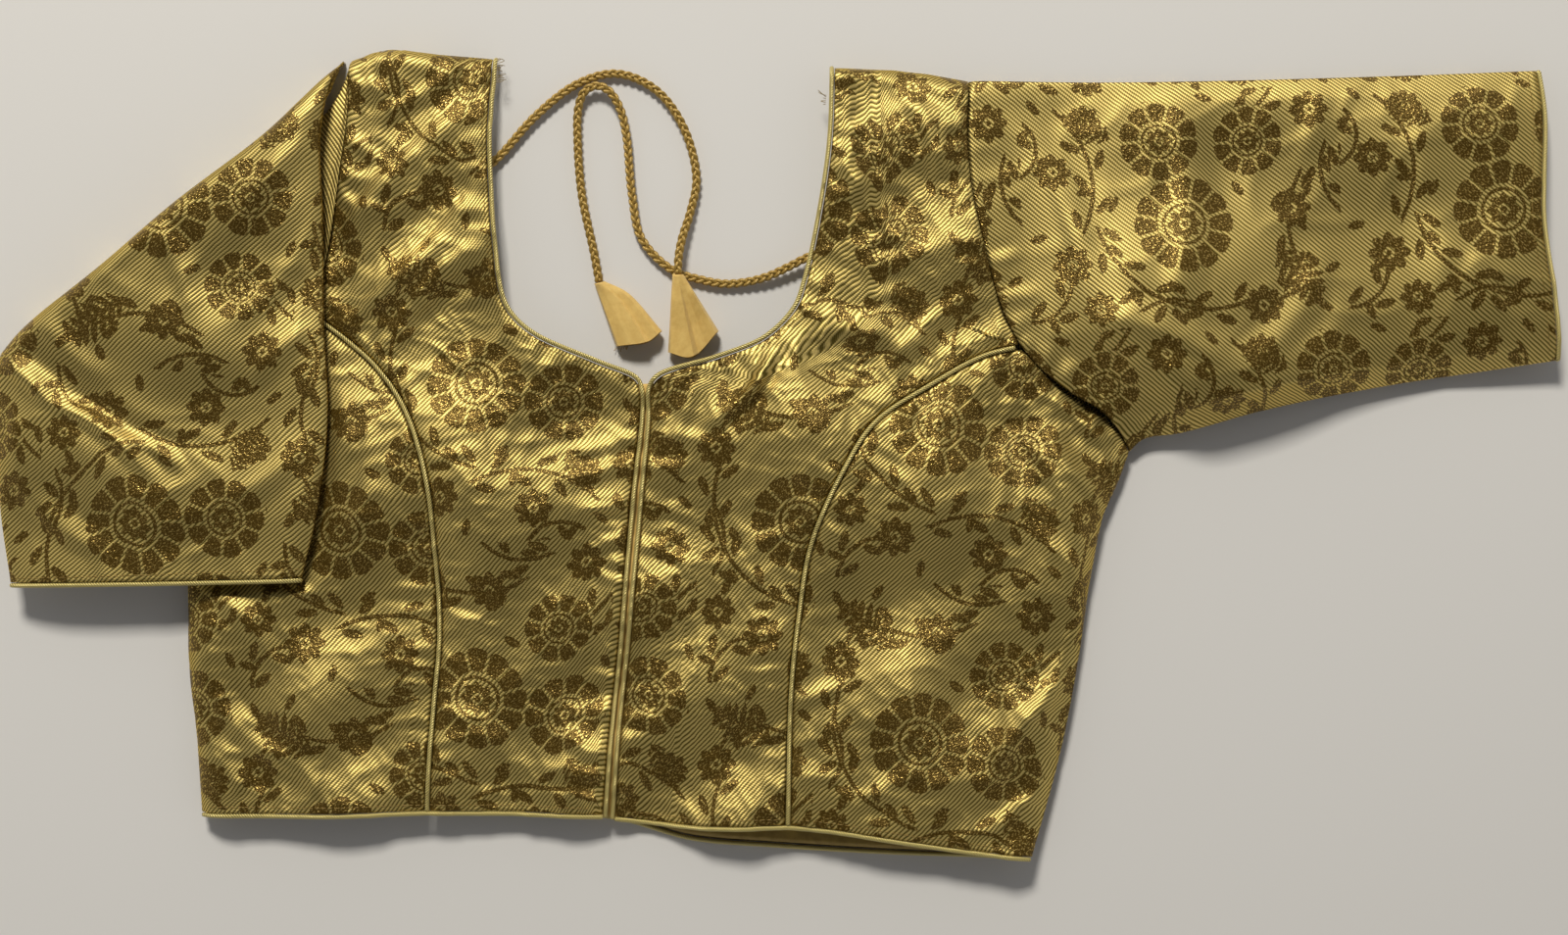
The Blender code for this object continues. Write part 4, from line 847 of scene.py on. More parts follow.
FLAP_CREASES = (
    (-369.0, 44.0, -344.0, 24.0, 1.0, 4.5, 2.0),
    (-346.0, 25.0, -296.0, -12.0, 5.0, 3.6, 2.4),
    (-311.0, 8.0, -282.0, -8.0, 2.0, 3.0, 1.6),
    (-352.0, 66.0, -318.0, 34.0, -3.0, 5.0, 0.9),
    (-222.0, 150.0, -262.0, 96.0, -5.0, 5.0, 1.0),
    (-219.0, 112.0, -262.0, 60.0, 5.0, 5.0, 1.0),
    (-218.0, 62.0, -250.0, 34.0, -3.0, 4.5, 1.0),
    (-222.0, 10.0, -262.0, -22.0, 4.0, 5.0, 0.9),
    (-298.0, 108.0, -276.0, 62.0, 4.0, 5.0, 0.9),
    (-360.0, -16.0, -318.0, -48.0, -4.0, 5.0, 1.0),
)
BACK_CREASES = (
    (-230.0, 20.0, -120.0, -60.0, 12.0, 7.0, 1.2),
    (130.0, -40.0, 10.0, -90.0, -14.0, 8.0, 1.2),
    (-110.0, 20.0, -60.0, -150.0, 10.0, 7.0, 1.0),
    (-250.0, -120.0, -160.0, -150.0, 6.0, 6.0, 1.0),
    (20.0, 40.0, 90.0, 10.0, 6.0, 6.0, 1.1),
    (60.0, 160.0, 74.0, 90.0, 4.0, 5.0, 0.9),
    (-186.0, 170.0, -160.0, 80.0, -5.0, 5.0, 0.9),
)


def ease(low, high, value):
    """Smooth step from 0 at low to 1 at high."""
    t = np.clip((value - low) / (high - low), 0, 1)
    return t * t * (3 - 2 * t)


def distance(x, y, line):
    """Distance in plan from points to a line."""
    nearest = np.full(np.shape(x), np.inf)
    for (ax, ay), (bx, by) in zip(line, line[1:]):
        along = ((x - ax) * (bx - ax) + (y - ay) * (by - ay)) / ((bx - ax) ** 2 + (by - ay) ** 2)
        along = np.clip(along, 0, 1)
        nearest = np.minimum(nearest, np.hypot(x - ax - along * (bx - ax), y - ay - along * (by - ay)))
    return nearest


def pads(x, y, table):
    """Sum of soft round heights."""
    return sum(height * np.exp(-((x - px) / reach_x) ** 2 - ((y - py) / reach_y) ** 2)
               for px, py, reach_x, reach_y, height in table)


def folds(x, y, table):
    """Sum of soft ridges and troughs, each fading towards its two ends."""
    total = 0.0
    for ax, ay, bx, by, half_width, height in table:
        t = np.clip(((x - ax) * (bx - ax) + (y - ay) * (by - ay)) / ((bx - ax) ** 2 + (by - ay) ** 2),
                    0, 1)
        aside = np.hypot(x - ax - t * (bx - ax), y - ay - t * (by - ay))
        total = total + height * np.exp(-(aside / half_width) ** 2) * np.sin(math.pi * (0.15 + 0.7 * t))
    return total


def creases(x, y, table):
    """Sum of bent creases, steep on their right and with a trough on their left."""
    total = np.zeros(np.shape(x))
    for ax, ay, bx, by, bend, half_width, height in table:
        length = math.hypot(bx - ax, by - ay)
        t = ((x - ax) * (bx - ax) + (y - ay) * (by - ay)) / length**2
        aside = ((bx - ax) * (y - ay) - (by - ay) * (x - ax)) / length - 4 * bend * t * (1 - t)
        width = half_width * np.where(aside < 0, 0.75, 1.3)
        ridge = np.exp(-(aside / width) ** 2) - 0.35 * np.exp(-((aside / half_width - 2.1) / 1.1) ** 2)
        total += height * ridge * ease(-0.12, 0.3, t) * ease(1.12, 0.7, t)
    return total


def puckers(seed, lines, gap, reach, height):
    """Short creases that run off seams to both sides, at uneven steps, as a crease table."""
    rng = np.random.default_rng(seed)
    table = []
    for line in lines:
        line = by_length(line, 1.0)
        side = cross_frames(np.column_stack([line, np.zeros(len(line))]))[0][:, :2]
        at = rng.uniform(4, gap)
        while at < len(line) - 4:
            way = rng.choice((-1, 1)) * side[int(at)] + rng.normal(0, 0.28, 2)
            end = line[int(at)] + way * reach * rng.uniform(0.6, 1.5)
            table.append((*line[int(at)], *end, rng.normal(0, 1.5), rng.uniform(2.2, 3.6),
                          height * rng.uniform(0.5, 1.3)))
            at += gap * rng.uniform(0.5, 1.4)
    return tuple(table)


def swell(x, y, seed, size, height):
    """A low uneven swell: waves in seeded directions, of about the given length."""
    rng = np.random.default_rng(seed)
    total = np.zeros(np.shape(x))
    for _ in range(9):
        way, phase = rng.uniform(0, 2 * math.pi, 2)
        pitch = size * rng.uniform(0.6, 1.6)
        total += np.sin((x * math.cos(way) + y * math.sin(way)) * 2 * math.pi / pitch + phase)
    return height * total / 3


def rumple(x, y, seed, size, height):
    """Patches of sharper ridges: the thin crests of bent waves, each strong only in places."""
    rng = np.random.default_rng(seed)
    total = np.zeros(np.shape(x))
    for _ in range(7):
        way, phase, bend, spot = rng.uniform(0, 2 * math.pi, 4)
        pitch = size * rng.uniform(0.7, 1.4)
        u, v = x * math.cos(way) + y * math.sin(way), y * math.cos(way) - x * math.sin(way)
        wave = np.sin(u * math.pi / pitch + 0.9 * np.sin(v * 2.7 / pitch + bend) + phase)
        place = 0.5 + 0.5 * np.sin(v * 2.0 / pitch + spot) * np.sin(u * 1.4 / pitch + bend)
        total += (1 - np.abs(wave)) ** 3 * ease(0.45, 0.85, place)
    return height * total


PUCKERS = (puckers(3, (PRINCESS_LEFT, PRINCESS_RIGHT), 8.0, 18.0, 0.7)
           + puckers(5, (NECK_LEFT, NECK_RIGHT), 7.0, 15.0, 0.65)
           + puckers(8, (HEM_LEFT_SIDE, HEM_LEFT_CENTRE, HEM_RIGHT_CENTRE, HEM_RIGHT_SIDE), 11.0, 16.0, 0.6)
           + puckers(9, (ARMHOLE_RIGHT_UPPER, ARMHOLE_RIGHT_LOWER, ARMHOLE_LEFT_UPPER), 8.0, 16.0, 0.7))
print(len(FRONT_CREASES), "creases and", len(PUCKERS), "puckers on the fronts")

# %% [markdown]
# ## Heights
# The back lies on the table, lifting at its side seams. The fronts ride over it on the seam turnings
# inside, and round down to it at the side and shoulder seams. The folded sleeve rests on the fronts,
# so their creases fade out beneath it.

# %% Heights of the layers
def back_lift(x, y):
    """Height of the back panel's underside."""
    total = 0.0
    for line, height in SIDE_LIFTS:
        total = total + height * np.clip(1 - distance(x, y, line) / LIFT_WIDTH, 0, 1) ** 2
    for px, py, reach, height in BACK_LIFTS:
        total = total + height * np.clip(1 - np.hypot(x - px, y - py) / reach, 0, 1) ** 2
    return total


def front_full(x, y):
    """Height of the fronts' underside away from their side and shoulder seams."""
    return BACK_CLOTH + GAP + BULK + pads(x, y, FRONT_PADS) + folds(x, y, FRONT_FOLDS)


def side_rise(x, y):
    """How far the fronts have risen from the back: 0 at side and shoulder seams, 1 inside."""
    side = np.minimum(distance(x, y, SIDE_LEFT), distance(x, y, SIDE_RIGHT)) / SIDE_ROUND
    shoulder = np.minimum(distance(x, y, SHOULDER_LEFT), distance(x, y, SHOULDER_RIGHT)) / SHOULDER_ROUND
    near = np.clip(np.minimum(side, shoulder), 0, 1)
    return np.sqrt(1 - (1 - near) ** 2)


def front_under(x, y):
    """Height of the fronts' underside, rounded down to the back panel at the seams."""
    seat = BACK_CLOTH + GAP
    rise = side_rise(x, y)
    return seat + back_lift(x, y) * (1 - rise) + rise * (front_full(x, y) - seat)


def beside_flap(x, y):
    """1 where the fronts are open to view, 0 under the folded sleeve."""
    edge = np.array(FLAP_RIGHT_EDGE)[::-1]
    return ease(-3.0, 9.0, np.maximum(x - np.interp(y, edge[:, 1], edge[:, 0]), FLAP_HEM[0][1] - y))


def front_creases(x, y):
    """Creases of the fronts, on top of their larger folds."""
    fine = (pads(x, y, FRONT_SWELLS) + creases(x, y, FRONT_CREASES) * CREASE_RELIEF
            + creases(x, y, PUCKERS) * PUCKER_RELIEF
            + swell(x, y, 21, 26.0, 0.12) + swell(x, y, 22, 84.0, 2.7)
            + rumple(x, y, 23, 34.0, 0.8) + rumple(x, y, 25, 17.0, 0.46)
            + rumple(x, y, 27, 9.0, 0.12))
    return fine * side_rise(x, y) ** 2 * beside_flap(x, y)


FRONT_SEAMS = [even(line, 80) for line in (PRINCESS_LEFT, PRINCESS_RIGHT, NECK_LEFT, NECK_RIGHT)]
PLAIN_SEAMS = [even(line, 40) for line in (ARMHOLE_RIGHT_UPPER, ARMHOLE_RIGHT_LOWER, ARMHOLE_LEFT_UPPER)]


def seam_dip(x, y, lines, depth, width):
    """Drop of cloth towards seams, where it is drawn in."""
    near = np.min([distance(x, y, line) for line in lines], axis=0)
    return depth * np.exp(-(near / width) ** 2)


def front_top(x, y):
    """Height of the fronts' face."""
    dip = seam_dip(x, y, FRONT_SEAMS, 0.95, 3.0) + seam_dip(x, y, PLAIN_SEAMS, 0.45, 1.8)
    return front_under(x, y) + CLOTH + front_creases(x, y) - dip


# %% [markdown]
# ## Panels
# A panel is a grid between its four seams, every point at its own height. The place of each point
# on the cloth is measured over the folds, as cloth keeps its length. Each panel was cut from another
# part of the length, so it has its own start and tilt in the repeat. Solidify gives the wall.

# %% Grids
def join_lines(*lines):
    """Lines end to end, each joint's point kept once."""
    return np.vstack([lines[0]] + [line[1:] for line in lines[1:]])


def coons(top, bottom, left, right):
    """Grid between four edges: rows from top to bottom, columns from left to right."""
    v = np.linspace(0, 1, len(left))[:, None, None]
    u = np.linspace(0, 1, len(top))[None, :, None]
    corners = (1 - v) * ((1 - u) * top[0] + u * top[-1]) + v * ((1 - u) * bottom[0] + u * bottom[-1])
    return (1 - v) * top[None] + v * bottom[None] + (1 - u) * left[:, None] + u * right[:, None] - corners


def to_left(line, amount):
    """Moves that shift each point of a line to its left by an amount, one number or one a point."""
    along = np.gradient(line, axis=0)
    along /= np.linalg.norm(along, axis=1)[:, None]
    return np.column_stack([-along[:, 1], along[:, 0]]) * np.reshape(amount, (-1, 1))


def panel_grid(top, bottom, left, right, gaps):
    """Grid between four seams, drawn in from them by the gaps above, below, left and right."""
    above, below, before, after = gaps
    moves = (-to_left(top, above), to_left(bottom, below), to_left(left, before), -to_left(right, after))

    def moved(line, move, start, end):
        near = np.clip(1 - np.arange(len(line)) / 8, 0, 1)[:, None]
        return line + move + near * start + near[::-1] * end

    return coons(moved(top, moves[0], moves[2][0], moves[3][0]),
                 moved(bottom, moves[1], moves[2][-1], moves[3][-1]),
                 moved(left, moves[2], moves[0][0], moves[1][0]),
                 moved(right, moves[3], moves[0][-1], moves[1][-1]))


def over_folds(plan, height, axis, sign):
    """Lengths along one way of a grid, measured over its folds, and true to plan in the middle."""
    step = sign * np.hypot(np.diff(plan, axis=axis), np.diff(height, axis=axis))
    run = np.insert(np.cumsum(step, axis=axis), 0, 0.0, axis=axis)
    middle = [plan.shape[axis] // 2]
    return run + np.take(plan - run, middle, axis=axis)


def on_the_cloth(x, y, grain):
    """Places on the cloth, where grain is a rosette's place, the tilt, and a start up the cloth."""
    gx, gy, tilt, start = grain
    turn = math.radians(tilt)
    x, y = x - gx, y - gy
    return np.stack([x * math.cos(turn) - y * math.sin(turn),
                     x * math.sin(turn) + y * math.cos(turn) + start], axis=2)


def make_panel(name, grid, height, material, grain, wall=THIN):
    """A cloth panel on a plan grid."""
    z = height(grid[..., 0].ravel(), grid[..., 1].ravel()).reshape(grid.shape[:2])
    x = over_folds(grid[..., 0], z, 1, 1)
    y = over_folds(grid[..., 1], z, 0, -1)
    piece = rows_mesh(name, np.dstack([grid, z]), on_the_cloth(x, y, grain), material, wall)
    print(f"{name}: {len(piece.data.polygons)} faces")
    return piece


# %% [markdown]
# The fronts meet the piping along the neck, the opening, the princess seams and the hem. At the
# armholes and shoulders they meet cloth, so only a hair's breadth is left there.

# %% Front panels
ARM, SEW, ACROSS = 60, 180, 72     # steps along the armhole, the princess seam, and across a panel
SIDE_STEPS = 150
half_gap = GAP / 2
arm_then_sewn = np.r_[np.full(ARM, half_gap), np.full(SEW + 1, SEAM)]
armhole_princess_left = join_lines(even(ARMHOLE_LEFT_UPPER, ARM), even(PRINCESS_LEFT, SEW))
armhole_princess_right = join_lines(even(ARMHOLE_RIGHT_UPPER, ARM), even(PRINCESS_RIGHT, SEW))

front_left_centre = make_panel(
    "front_left_centre_cloth",
    panel_grid(even(SHOULDER_LEFT, ACROSS), even(HEM_LEFT_CENTRE, ACROSS), armhole_princess_left,
               even(NECK_LEFT, ARM + SEW), (half_gap, SEAM, arm_then_sewn, SEAM)),
    front_top, bodice_brocade, (-144.1, -119.9, 0.0, 0.0))
front_right_centre = make_panel(
    "front_right_centre_cloth",
    panel_grid(even(SHOULDER_RIGHT, ACROSS), even(HEM_RIGHT_CENTRE, ACROSS), even(NECK_RIGHT, ARM + SEW),
               armhole_princess_right, (half_gap, SEAM, SEAM, arm_then_sewn)),
    front_top, bodice_brocade, (11.5, -33.8, 0.0, 0.0))
front_left_side = make_panel(
    "front_left_side_cloth",
    panel_grid(even(ARMHOLE_LEFT_LOWER, ACROSS)[::-1], even(HEM_LEFT_SIDE, ACROSS),
               even(SIDE_LEFT, SIDE_STEPS), even(PRINCESS_LEFT, SIDE_STEPS), (half_gap, SEAM, 0.0, SEAM)),
    front_top, bodice_brocade, (-208.4, -36.2, 0.0, 0.0))
front_right_side = make_panel(
    "front_right_side_cloth",
    panel_grid(even(ARMHOLE_RIGHT_LOWER, ACROSS), even(HEM_RIGHT_SIDE, ACROSS),
               even(PRINCESS_RIGHT, SIDE_STEPS), even(SIDE_RIGHT, SIDE_STEPS), (half_gap, SEAM, SEAM, 0.0)),
    front_top, bodice_brocade, (71.9, -62.0, 3.05, 77.0))

# %% [markdown]
# The back is one piece, cut deeper at the neck. It is finished like the fronts, with long soft
# folds of its own. A facing of plain satin backs its hem, where the lower right corner gapes, and a
# plain placket lies behind the opening.

# %% Back, facing and placket
def back_top(x, y):
    """Height of the back panel's inner face."""
    ridges = np.maximum(0, creases(x, y, BACK_CREASES) + swell(x, y, 33, 60.0, 0.2))
    inside = 1 - np.clip(1 - distance(x, y, list(SIDE_LEFT)) / 8, 0, 1)
    return back_lift(x, y) + THIN + ridges * inside


arm_left = join_lines(even(ARMHOLE_LEFT_UPPER, 36), even(ARMHOLE_LEFT_LOWER, 30))[::-1]
arm_right = join_lines(even(ARMHOLE_RIGHT_UPPER, 36), even(ARMHOLE_RIGHT_LOWER, 30))
neck = join_lines(even(((-139.4, 190.0), (-139.8, 183.0)), 3), even(NECK_BACK, 120),
                  even(((30.4, 179.0), (30.6, 186.0)), 3))
back_upper = join_lines(arm_left, even(SHOULDER_LEFT[:-1] + ((-139.4, 190.0),), 22), neck,
                        even(((30.6, 186.0),) + SHOULDER_RIGHT[1:], 20), arm_right)
turns = np.cumsum((0, 66, 22, 38, 50, 38, 20, 66))
hem_parts = (0.0, 0.19, 0.22, 0.30, 0.76, 0.88, 0.91, 1.0)
back_hem = smooth_line(HEM_BACK, np.interp(np.arange(len(back_upper)), turns, hem_parts))
back_gaps = np.full(len(back_upper), half_gap)
back_gaps[89:215] = SEAM
back_panel = make_panel(
    "back_panel_cloth",
    panel_grid(back_upper, back_hem, even(SIDE_LEFT, 90), even(SIDE_RIGHT, 90),
               (back_gaps, SEAM, 0.0, 0.0)),
    back_top, bodice_brocade, (-60.0, -70.0, 0.0, 0.0))

facing_low = even(((-62.0, -178.0), (-41.6, -183.5), (-1.2, -187.0), (59.0, -190.6), (112.0, -192.4)), 90)
facing_high = even(((-62.0, -156.0), (-1.2, -162.0), (106.0, -168.0)), 90)
across = np.linspace(0, 1, 13)[:, None]
back_hem_facing = make_panel(
    "back_hem_facing_cloth",
    coons(facing_high, facing_low, facing_high[0] * (1 - across) + facing_low[0] * across,
          facing_high[-1] * (1 - across) + facing_low[-1] * across),
    lambda x, y: back_lift(x, y) + BACK_CLOTH + 2 * GAP + PLAIN_CLOTH + swell(x, y, 41, 26.0, 0.15),
    facing_satin, (0.0, 0.0, 0.0, 0.0), wall=0.8)

down = np.linspace(0, 1, 120)[:, None]
placket_left = np.array((-76.0, 33.5)) * (1 - down) + np.array((-92.0, -174.6)) * down
placket_right = np.array((-54.5, 33.5)) * (1 - down) + np.array((-70.0, -174.6)) * down
across = np.linspace(0, 1, 14)[:, None]
placket = make_panel(
    "placket_cloth",
    coons(placket_left[0] * (1 - across) + placket_right[0] * across,
          placket_left[-1] * (1 - across) + placket_right[-1] * across, placket_left, placket_right),
    lambda x, y: front_under(x, y) + CLOTH / 2 - PIPING / 2 - GAP - 0.2 + front_creases(x, y), pale_cotton,
    (0.0, 0.0, 4.0, 0.0), wall=0.8)

# %% [markdown]
# ## Sleeves
# A sleeve is a tube pressed flat, so it is made ring by ring: an upper layer, a round fold, a lower
# layer and back. The points stand close together at the folds. The right one lies spread. The left
# one is turned over: its end at the turn is closed, and its lower layer comes to rest on the bodice.

# %% Flattened tubes
FOLD_STEPS = 112
ring_parts = 0.5 - 0.5 * np.cos(math.pi * np.linspace(0, 1, FOLD_STEPS + 1))


def fullness_of(parts):
    """How open a flattened tube is at each part of its width: 0 at its folds, 1 between them."""
    return np.minimum(1, 1.3 * (2 * np.sqrt(np.clip(parts * (1 - parts), 0, 1))) ** 0.7)


def flat_tube(name, grid, parts, top, bottom, material, grain, along_x, wall=THIN):
    """A tube pressed flat. The grid's rows are its sections, from one fold to the other."""
    fullness = fullness_of(parts)
    middle = (top + bottom) / 2
    upper = np.dstack([grid, middle + (top - middle) * fullness])
    lower = np.dstack([grid, middle - (middle - bottom) * fullness])[:, -2:0:-1]
    rings = np.concatenate([upper, lower], axis=1)
    around = np.concatenate([rings, rings[:, :1]], axis=1)
    x, y, z = np.moveaxis(around, 2, 0)
    quarter = len(parts) // 2
    walk = x if not along_x else y
    step = -np.hypot(np.diff(walk, axis=1), np.diff(z, axis=1))
    run = np.insert(np.cumsum(step, axis=1), 0, 0.0, axis=1)
    wrapped = run + (walk - run)[:, quarter:quarter + 1]
    if along_x:
        cloth = on_the_cloth(over_folds(x, z, 0, 1), wrapped, grain)
    else:
        cloth = on_the_cloth(wrapped, over_folds(y, z, 0, -1), grain)
    piece = rows_mesh(name, rings, cloth, material, wall, closed=True)
    for vertex in piece.data.vertices:
        vertex.co.z = max(vertex.co.z, 0.0)
    print(f"{name}: {len(piece.data.polygons)} faces")
    return piece, rings


def sleeve_piping(name, line, parts, top, bottom, outward):
    """Piping round a sleeve's open end, one loop just past the cloth's edge."""
    fullness = fullness_of(parts)
    middle = (top + bottom) / 2
    half = SLEEVE_CLOTH / 2
    over = middle + (top - half - middle) * fullness
    below = np.maximum(middle - (middle - bottom - half) * fullness, PIPING / 2)
    chord = (line[-1] - line[0]) / np.linalg.norm(line[-1] - line[0])
    line = line + chord * (half * (1 - 2 * parts))[:, None] + np.array(outward[:2]) * SEAM
    loop = np.vstack([np.column_stack([line, over]), np.column_stack([line, below])[-2:0:-1]])
    around = np.vstack([loop, loop[:1]])
    length = run_of(around)[-1]
    loop = read_line(around, np.linspace(0, length, round(length / LOOP_STEP), endpoint=False))
    return round_tube(name, loop, PIPING, piping_satin, sides=10, axis=outward)


# %% Right sleeve
armhole_right = join_lines(even(ARMHOLE_RIGHT_UPPER, 60), even(ARMHOLE_RIGHT_LOWER, 50))
lengths = np.linspace(0, 1, 126)
grid = coons(smooth_line(armhole_right, ring_parts), smooth_line(SLEEVE_RIGHT_HEM, ring_parts),
             smooth_line(SLEEVE_RIGHT_TOP, lengths), smooth_line(SLEEVE_RIGHT_BOTTOM, lengths))
grid += to_left(grid[0], GAP)[None] * np.clip(1 - lengths * 30, 0, 1)[:, None, None]
table = np.array(SLEEVE_RIGHT_SECTIONS)
upper, lower, bulge = (np.interp(lengths, table[:, 0], table[:, k])[:, None] for k in (1, 2, 3))
edge = upper * (1 - ring_parts) + lower * ring_parts
middle = 4 * ring_parts * (1 - ring_parts)
top = edge + SLEEVE_EDGE + bulge * middle
bottom = np.maximum(0, edge - SLEEVE_EDGE - SLEEVE_SAG * middle)
x, y = grid[..., 0], grid[..., 1]
joined = 1 - ease(0.0, 0.27, lengths)[:, None]
top = top * (1 - joined) + (front_under(x, y) + CLOTH) * joined
bottom = bottom * (1 - joined) + back_lift(x, y) * joined
fine = pads(x, y, SLEEVE_SWELLS) + CREASE_RELIEF * creases(x, y, SLEEVE_CREASES)
fine += swell(x, y, 54, 110.0, 1.9) + rumple(x, y, 55, 44.0, 0.6)
fine *= AT_ARMHOLE + (1 - AT_ARMHOLE) * ease(0.0, 0.22, lengths)[:, None]
fine += creases(x, y, puckers(14, (ARMHOLE_RIGHT_UPPER, ARMHOLE_RIGHT_LOWER), 7.0, 17.0, 0.7))
top += fine * np.minimum(1, middle * 4)
top -= seam_dip(x, y, PLAIN_SEAMS[:2], 0.6, 1.8) * np.minimum(1, middle * 4)
bottom += np.maximum(0, swell(x, y, 53, 40.0, 0.5)) * middle
sleeve_right, sleeve_rings = flat_tube("sleeve_right_cloth", grid, ring_parts, top, bottom,
                                       sleeve_brocade, (269.8, 113.0, -92.5, 77.0), True)
piping_sleeve_right = sleeve_piping("piping_sleeve_right_tube", grid[-1], ring_parts, top[-1],
                                    bottom[-1], (1.0, 0.0, 0.0))

# %% [markdown]
# The left sleeve's first part stays on the table, from the armhole to the turn. Its wrong side of
# plain twill shows in the slit beside the folded part.

# %% Left sleeve
def flap_rest(x, y):
    """Height at which the folded sleeve lies: just over the fronts, lower past their side."""
    return front_full(x, y) + CLOTH + 2 * GAP - FLAP_SLOPE * np.maximum(0, SIDE_LEFT[0][0] - x)


under_steps = np.linspace(0, 1, 48)
armhole_left = join_lines(even(ARMHOLE_LEFT_UPPER, 60), even(ARMHOLE_LEFT_LOWER, 50))
grid = coons(smooth_line(armhole_left, ring_parts), smooth_line(UNDER_TURN, ring_parts),
             smooth_line(UNDER_TOP_EDGE, under_steps), smooth_line(UNDER_BOTTOM_EDGE, under_steps))
grid -= to_left(grid[0], GAP)[None] * np.clip(1 - under_steps * 12, 0, 1)[:, None, None]
x, y = grid[..., 0], grid[..., 1]
top = front_full(x, y) + CLOTH + 2 * GAP - UNDER_CLEAR
near = (1 - ease(0.0, 0.12, under_steps))[:, None]
top = top * (1 - near) + (front_under(x, y) + CLOTH) * near
sleeve_left_under, _ = flat_tube("sleeve_left_under_cloth", grid, ring_parts, top, np.zeros(top.shape),
                                 plain_twill, (-250.0, 100.0, -80.0, 0.0), False)

rolled = 1 - np.cos(np.linspace(0, math.pi / 2, 12, endpoint=False))
lengths = np.r_[rolled * 0.07, np.linspace(0.07, 1, 112)]
grid = coons(smooth_line(TURN_LEFT, ring_parts), smooth_line(FLAP_HEM, ring_parts),
             smooth_line(FLAP_RIGHT_EDGE, lengths), smooth_line(FLAP_LEFT_EDGE, lengths))
x, y = grid[..., 0], grid[..., 1]
from_turn = distance(x, y, grid[0])
from_turn[0] = 0.0
under = flap_rest(x, y) * ease(FOLD_RIM - 1.5, FOLD_RIM + 2.0, from_turn)
roll = np.clip(from_turn / FOLD_RIM, 0, 1)
over = (flap_rest(x, y) + FLAP_HEIGHT + folds(x, y, FLAP_FOLDS)) * np.sqrt(1 - (1 - roll) ** 2)
open_face = np.minimum(1, 16 * ring_parts * (1 - ring_parts)) * ease(2.0, 14.0, from_turn)
over += open_face * (pads(x, y, FLAP_SWELLS) + 1.7 * creases(x, y, FLAP_CREASES)
                     + swell(x, y, 62, 100.0, 1.8) + rumple(x, y, 63, 44.0, 0.7)
                     + creases(x, y, puckers(17, (FLAP_HEM,), 11.0, 15.0, 0.6)))
sleeve_left, flap_rings = flat_tube("sleeve_left_cloth", grid, ring_parts, over, under, sleeve_brocade,
                                    (-297.8, 40.2, 5.3, 77.0), False)
piping_sleeve_left = sleeve_piping("piping_sleeve_left_tube", grid[-1], ring_parts, over[-1],
                                   under[-1], (0.0, -1.0, 0.0))

# %% [markdown]
# ## Piping
# Each seam's piping is a tube a little proud of the cloth, which dips to it on both sides. It rides
# the same creases as the cloth, or it would float over them.

# %% Pipings of the body
CLEAR = PIPING + 2 * GAP
TOUCH = PIPING / 2 + 0.1


def piping_line(tables, start=0.0, end=0.0):
    """Points a millimetre apart along joined seams, short of them by a start and an end."""
    line = join_lines(*(even(table, 200) for table in tables))
    length = run_of(line)[-1]
    return read_line(line, np.linspace(start, length - end, round(length)))


def front_piping(name, tables, start=0.0, end=0.0):
    """Piping along seams of the fronts."""
    line = piping_line(tables, start, end)
    x, y = line.T
    height = front_under(x, y) + CLOTH / 2 + front_creases(x, y) + 0.1
    return round_tube(name, np.column_stack([line, height]), PIPING, piping_satin, sides=10)


def back_piping(name, table, start=0.0, end=0.0):
    """Piping along an edge of the back."""
    line = piping_line((table,), start, end)
    height = back_lift(*line.T) + PIPING / 2
    return round_tube(name, np.column_stack([line, height]), PIPING, piping_satin, sides=10)


# Seams, and how far short of their start and end the piping stops
FRONT_PIPINGS = {
    "princess_left": ((PRINCESS_LEFT,), CLEAR, TOUCH),
    "princess_right": ((PRINCESS_RIGHT,), CLEAR, TOUCH),
    "neck_left": ((NECK_LEFT,),),
    "neck_right": ((NECK_RIGHT,),),
    "hem_left": ((HEM_LEFT_SIDE, HEM_LEFT_CENTRE), 1.0, TOUCH),
    "hem_right": ((HEM_RIGHT_CENTRE, HEM_RIGHT_SIDE), TOUCH, 1.0),
}
BACK_PIPINGS = {"neck_back": (NECK_BACK,), "hem_back": (HEM_BACK, 1.0, 4.0)}
pipings = {}
for make, table in ((front_piping, FRONT_PIPINGS), (back_piping, BACK_PIPINGS)):
    for edge, course in table.items():
        pipings["piping_" + edge] = make(f"piping_{edge}_tube", *course)
pipings["piping_sleeve_right"] = piping_sleeve_right
pipings["piping_sleeve_left"] = piping_sleeve_left

# %% [markdown]
# ## Stitches
# A row of machine stitches holds the turned edges down, some millimetres inside the piping. Each is
# a small spindle of thread, and a row of them is one mesh.

# %% Stitch rows
STITCH = 2.3
STITCH_STEP = 3.2
STITCH_THICK = 0.42
OPENING = 214.0       # length of the front opening, where the stitches are hidden


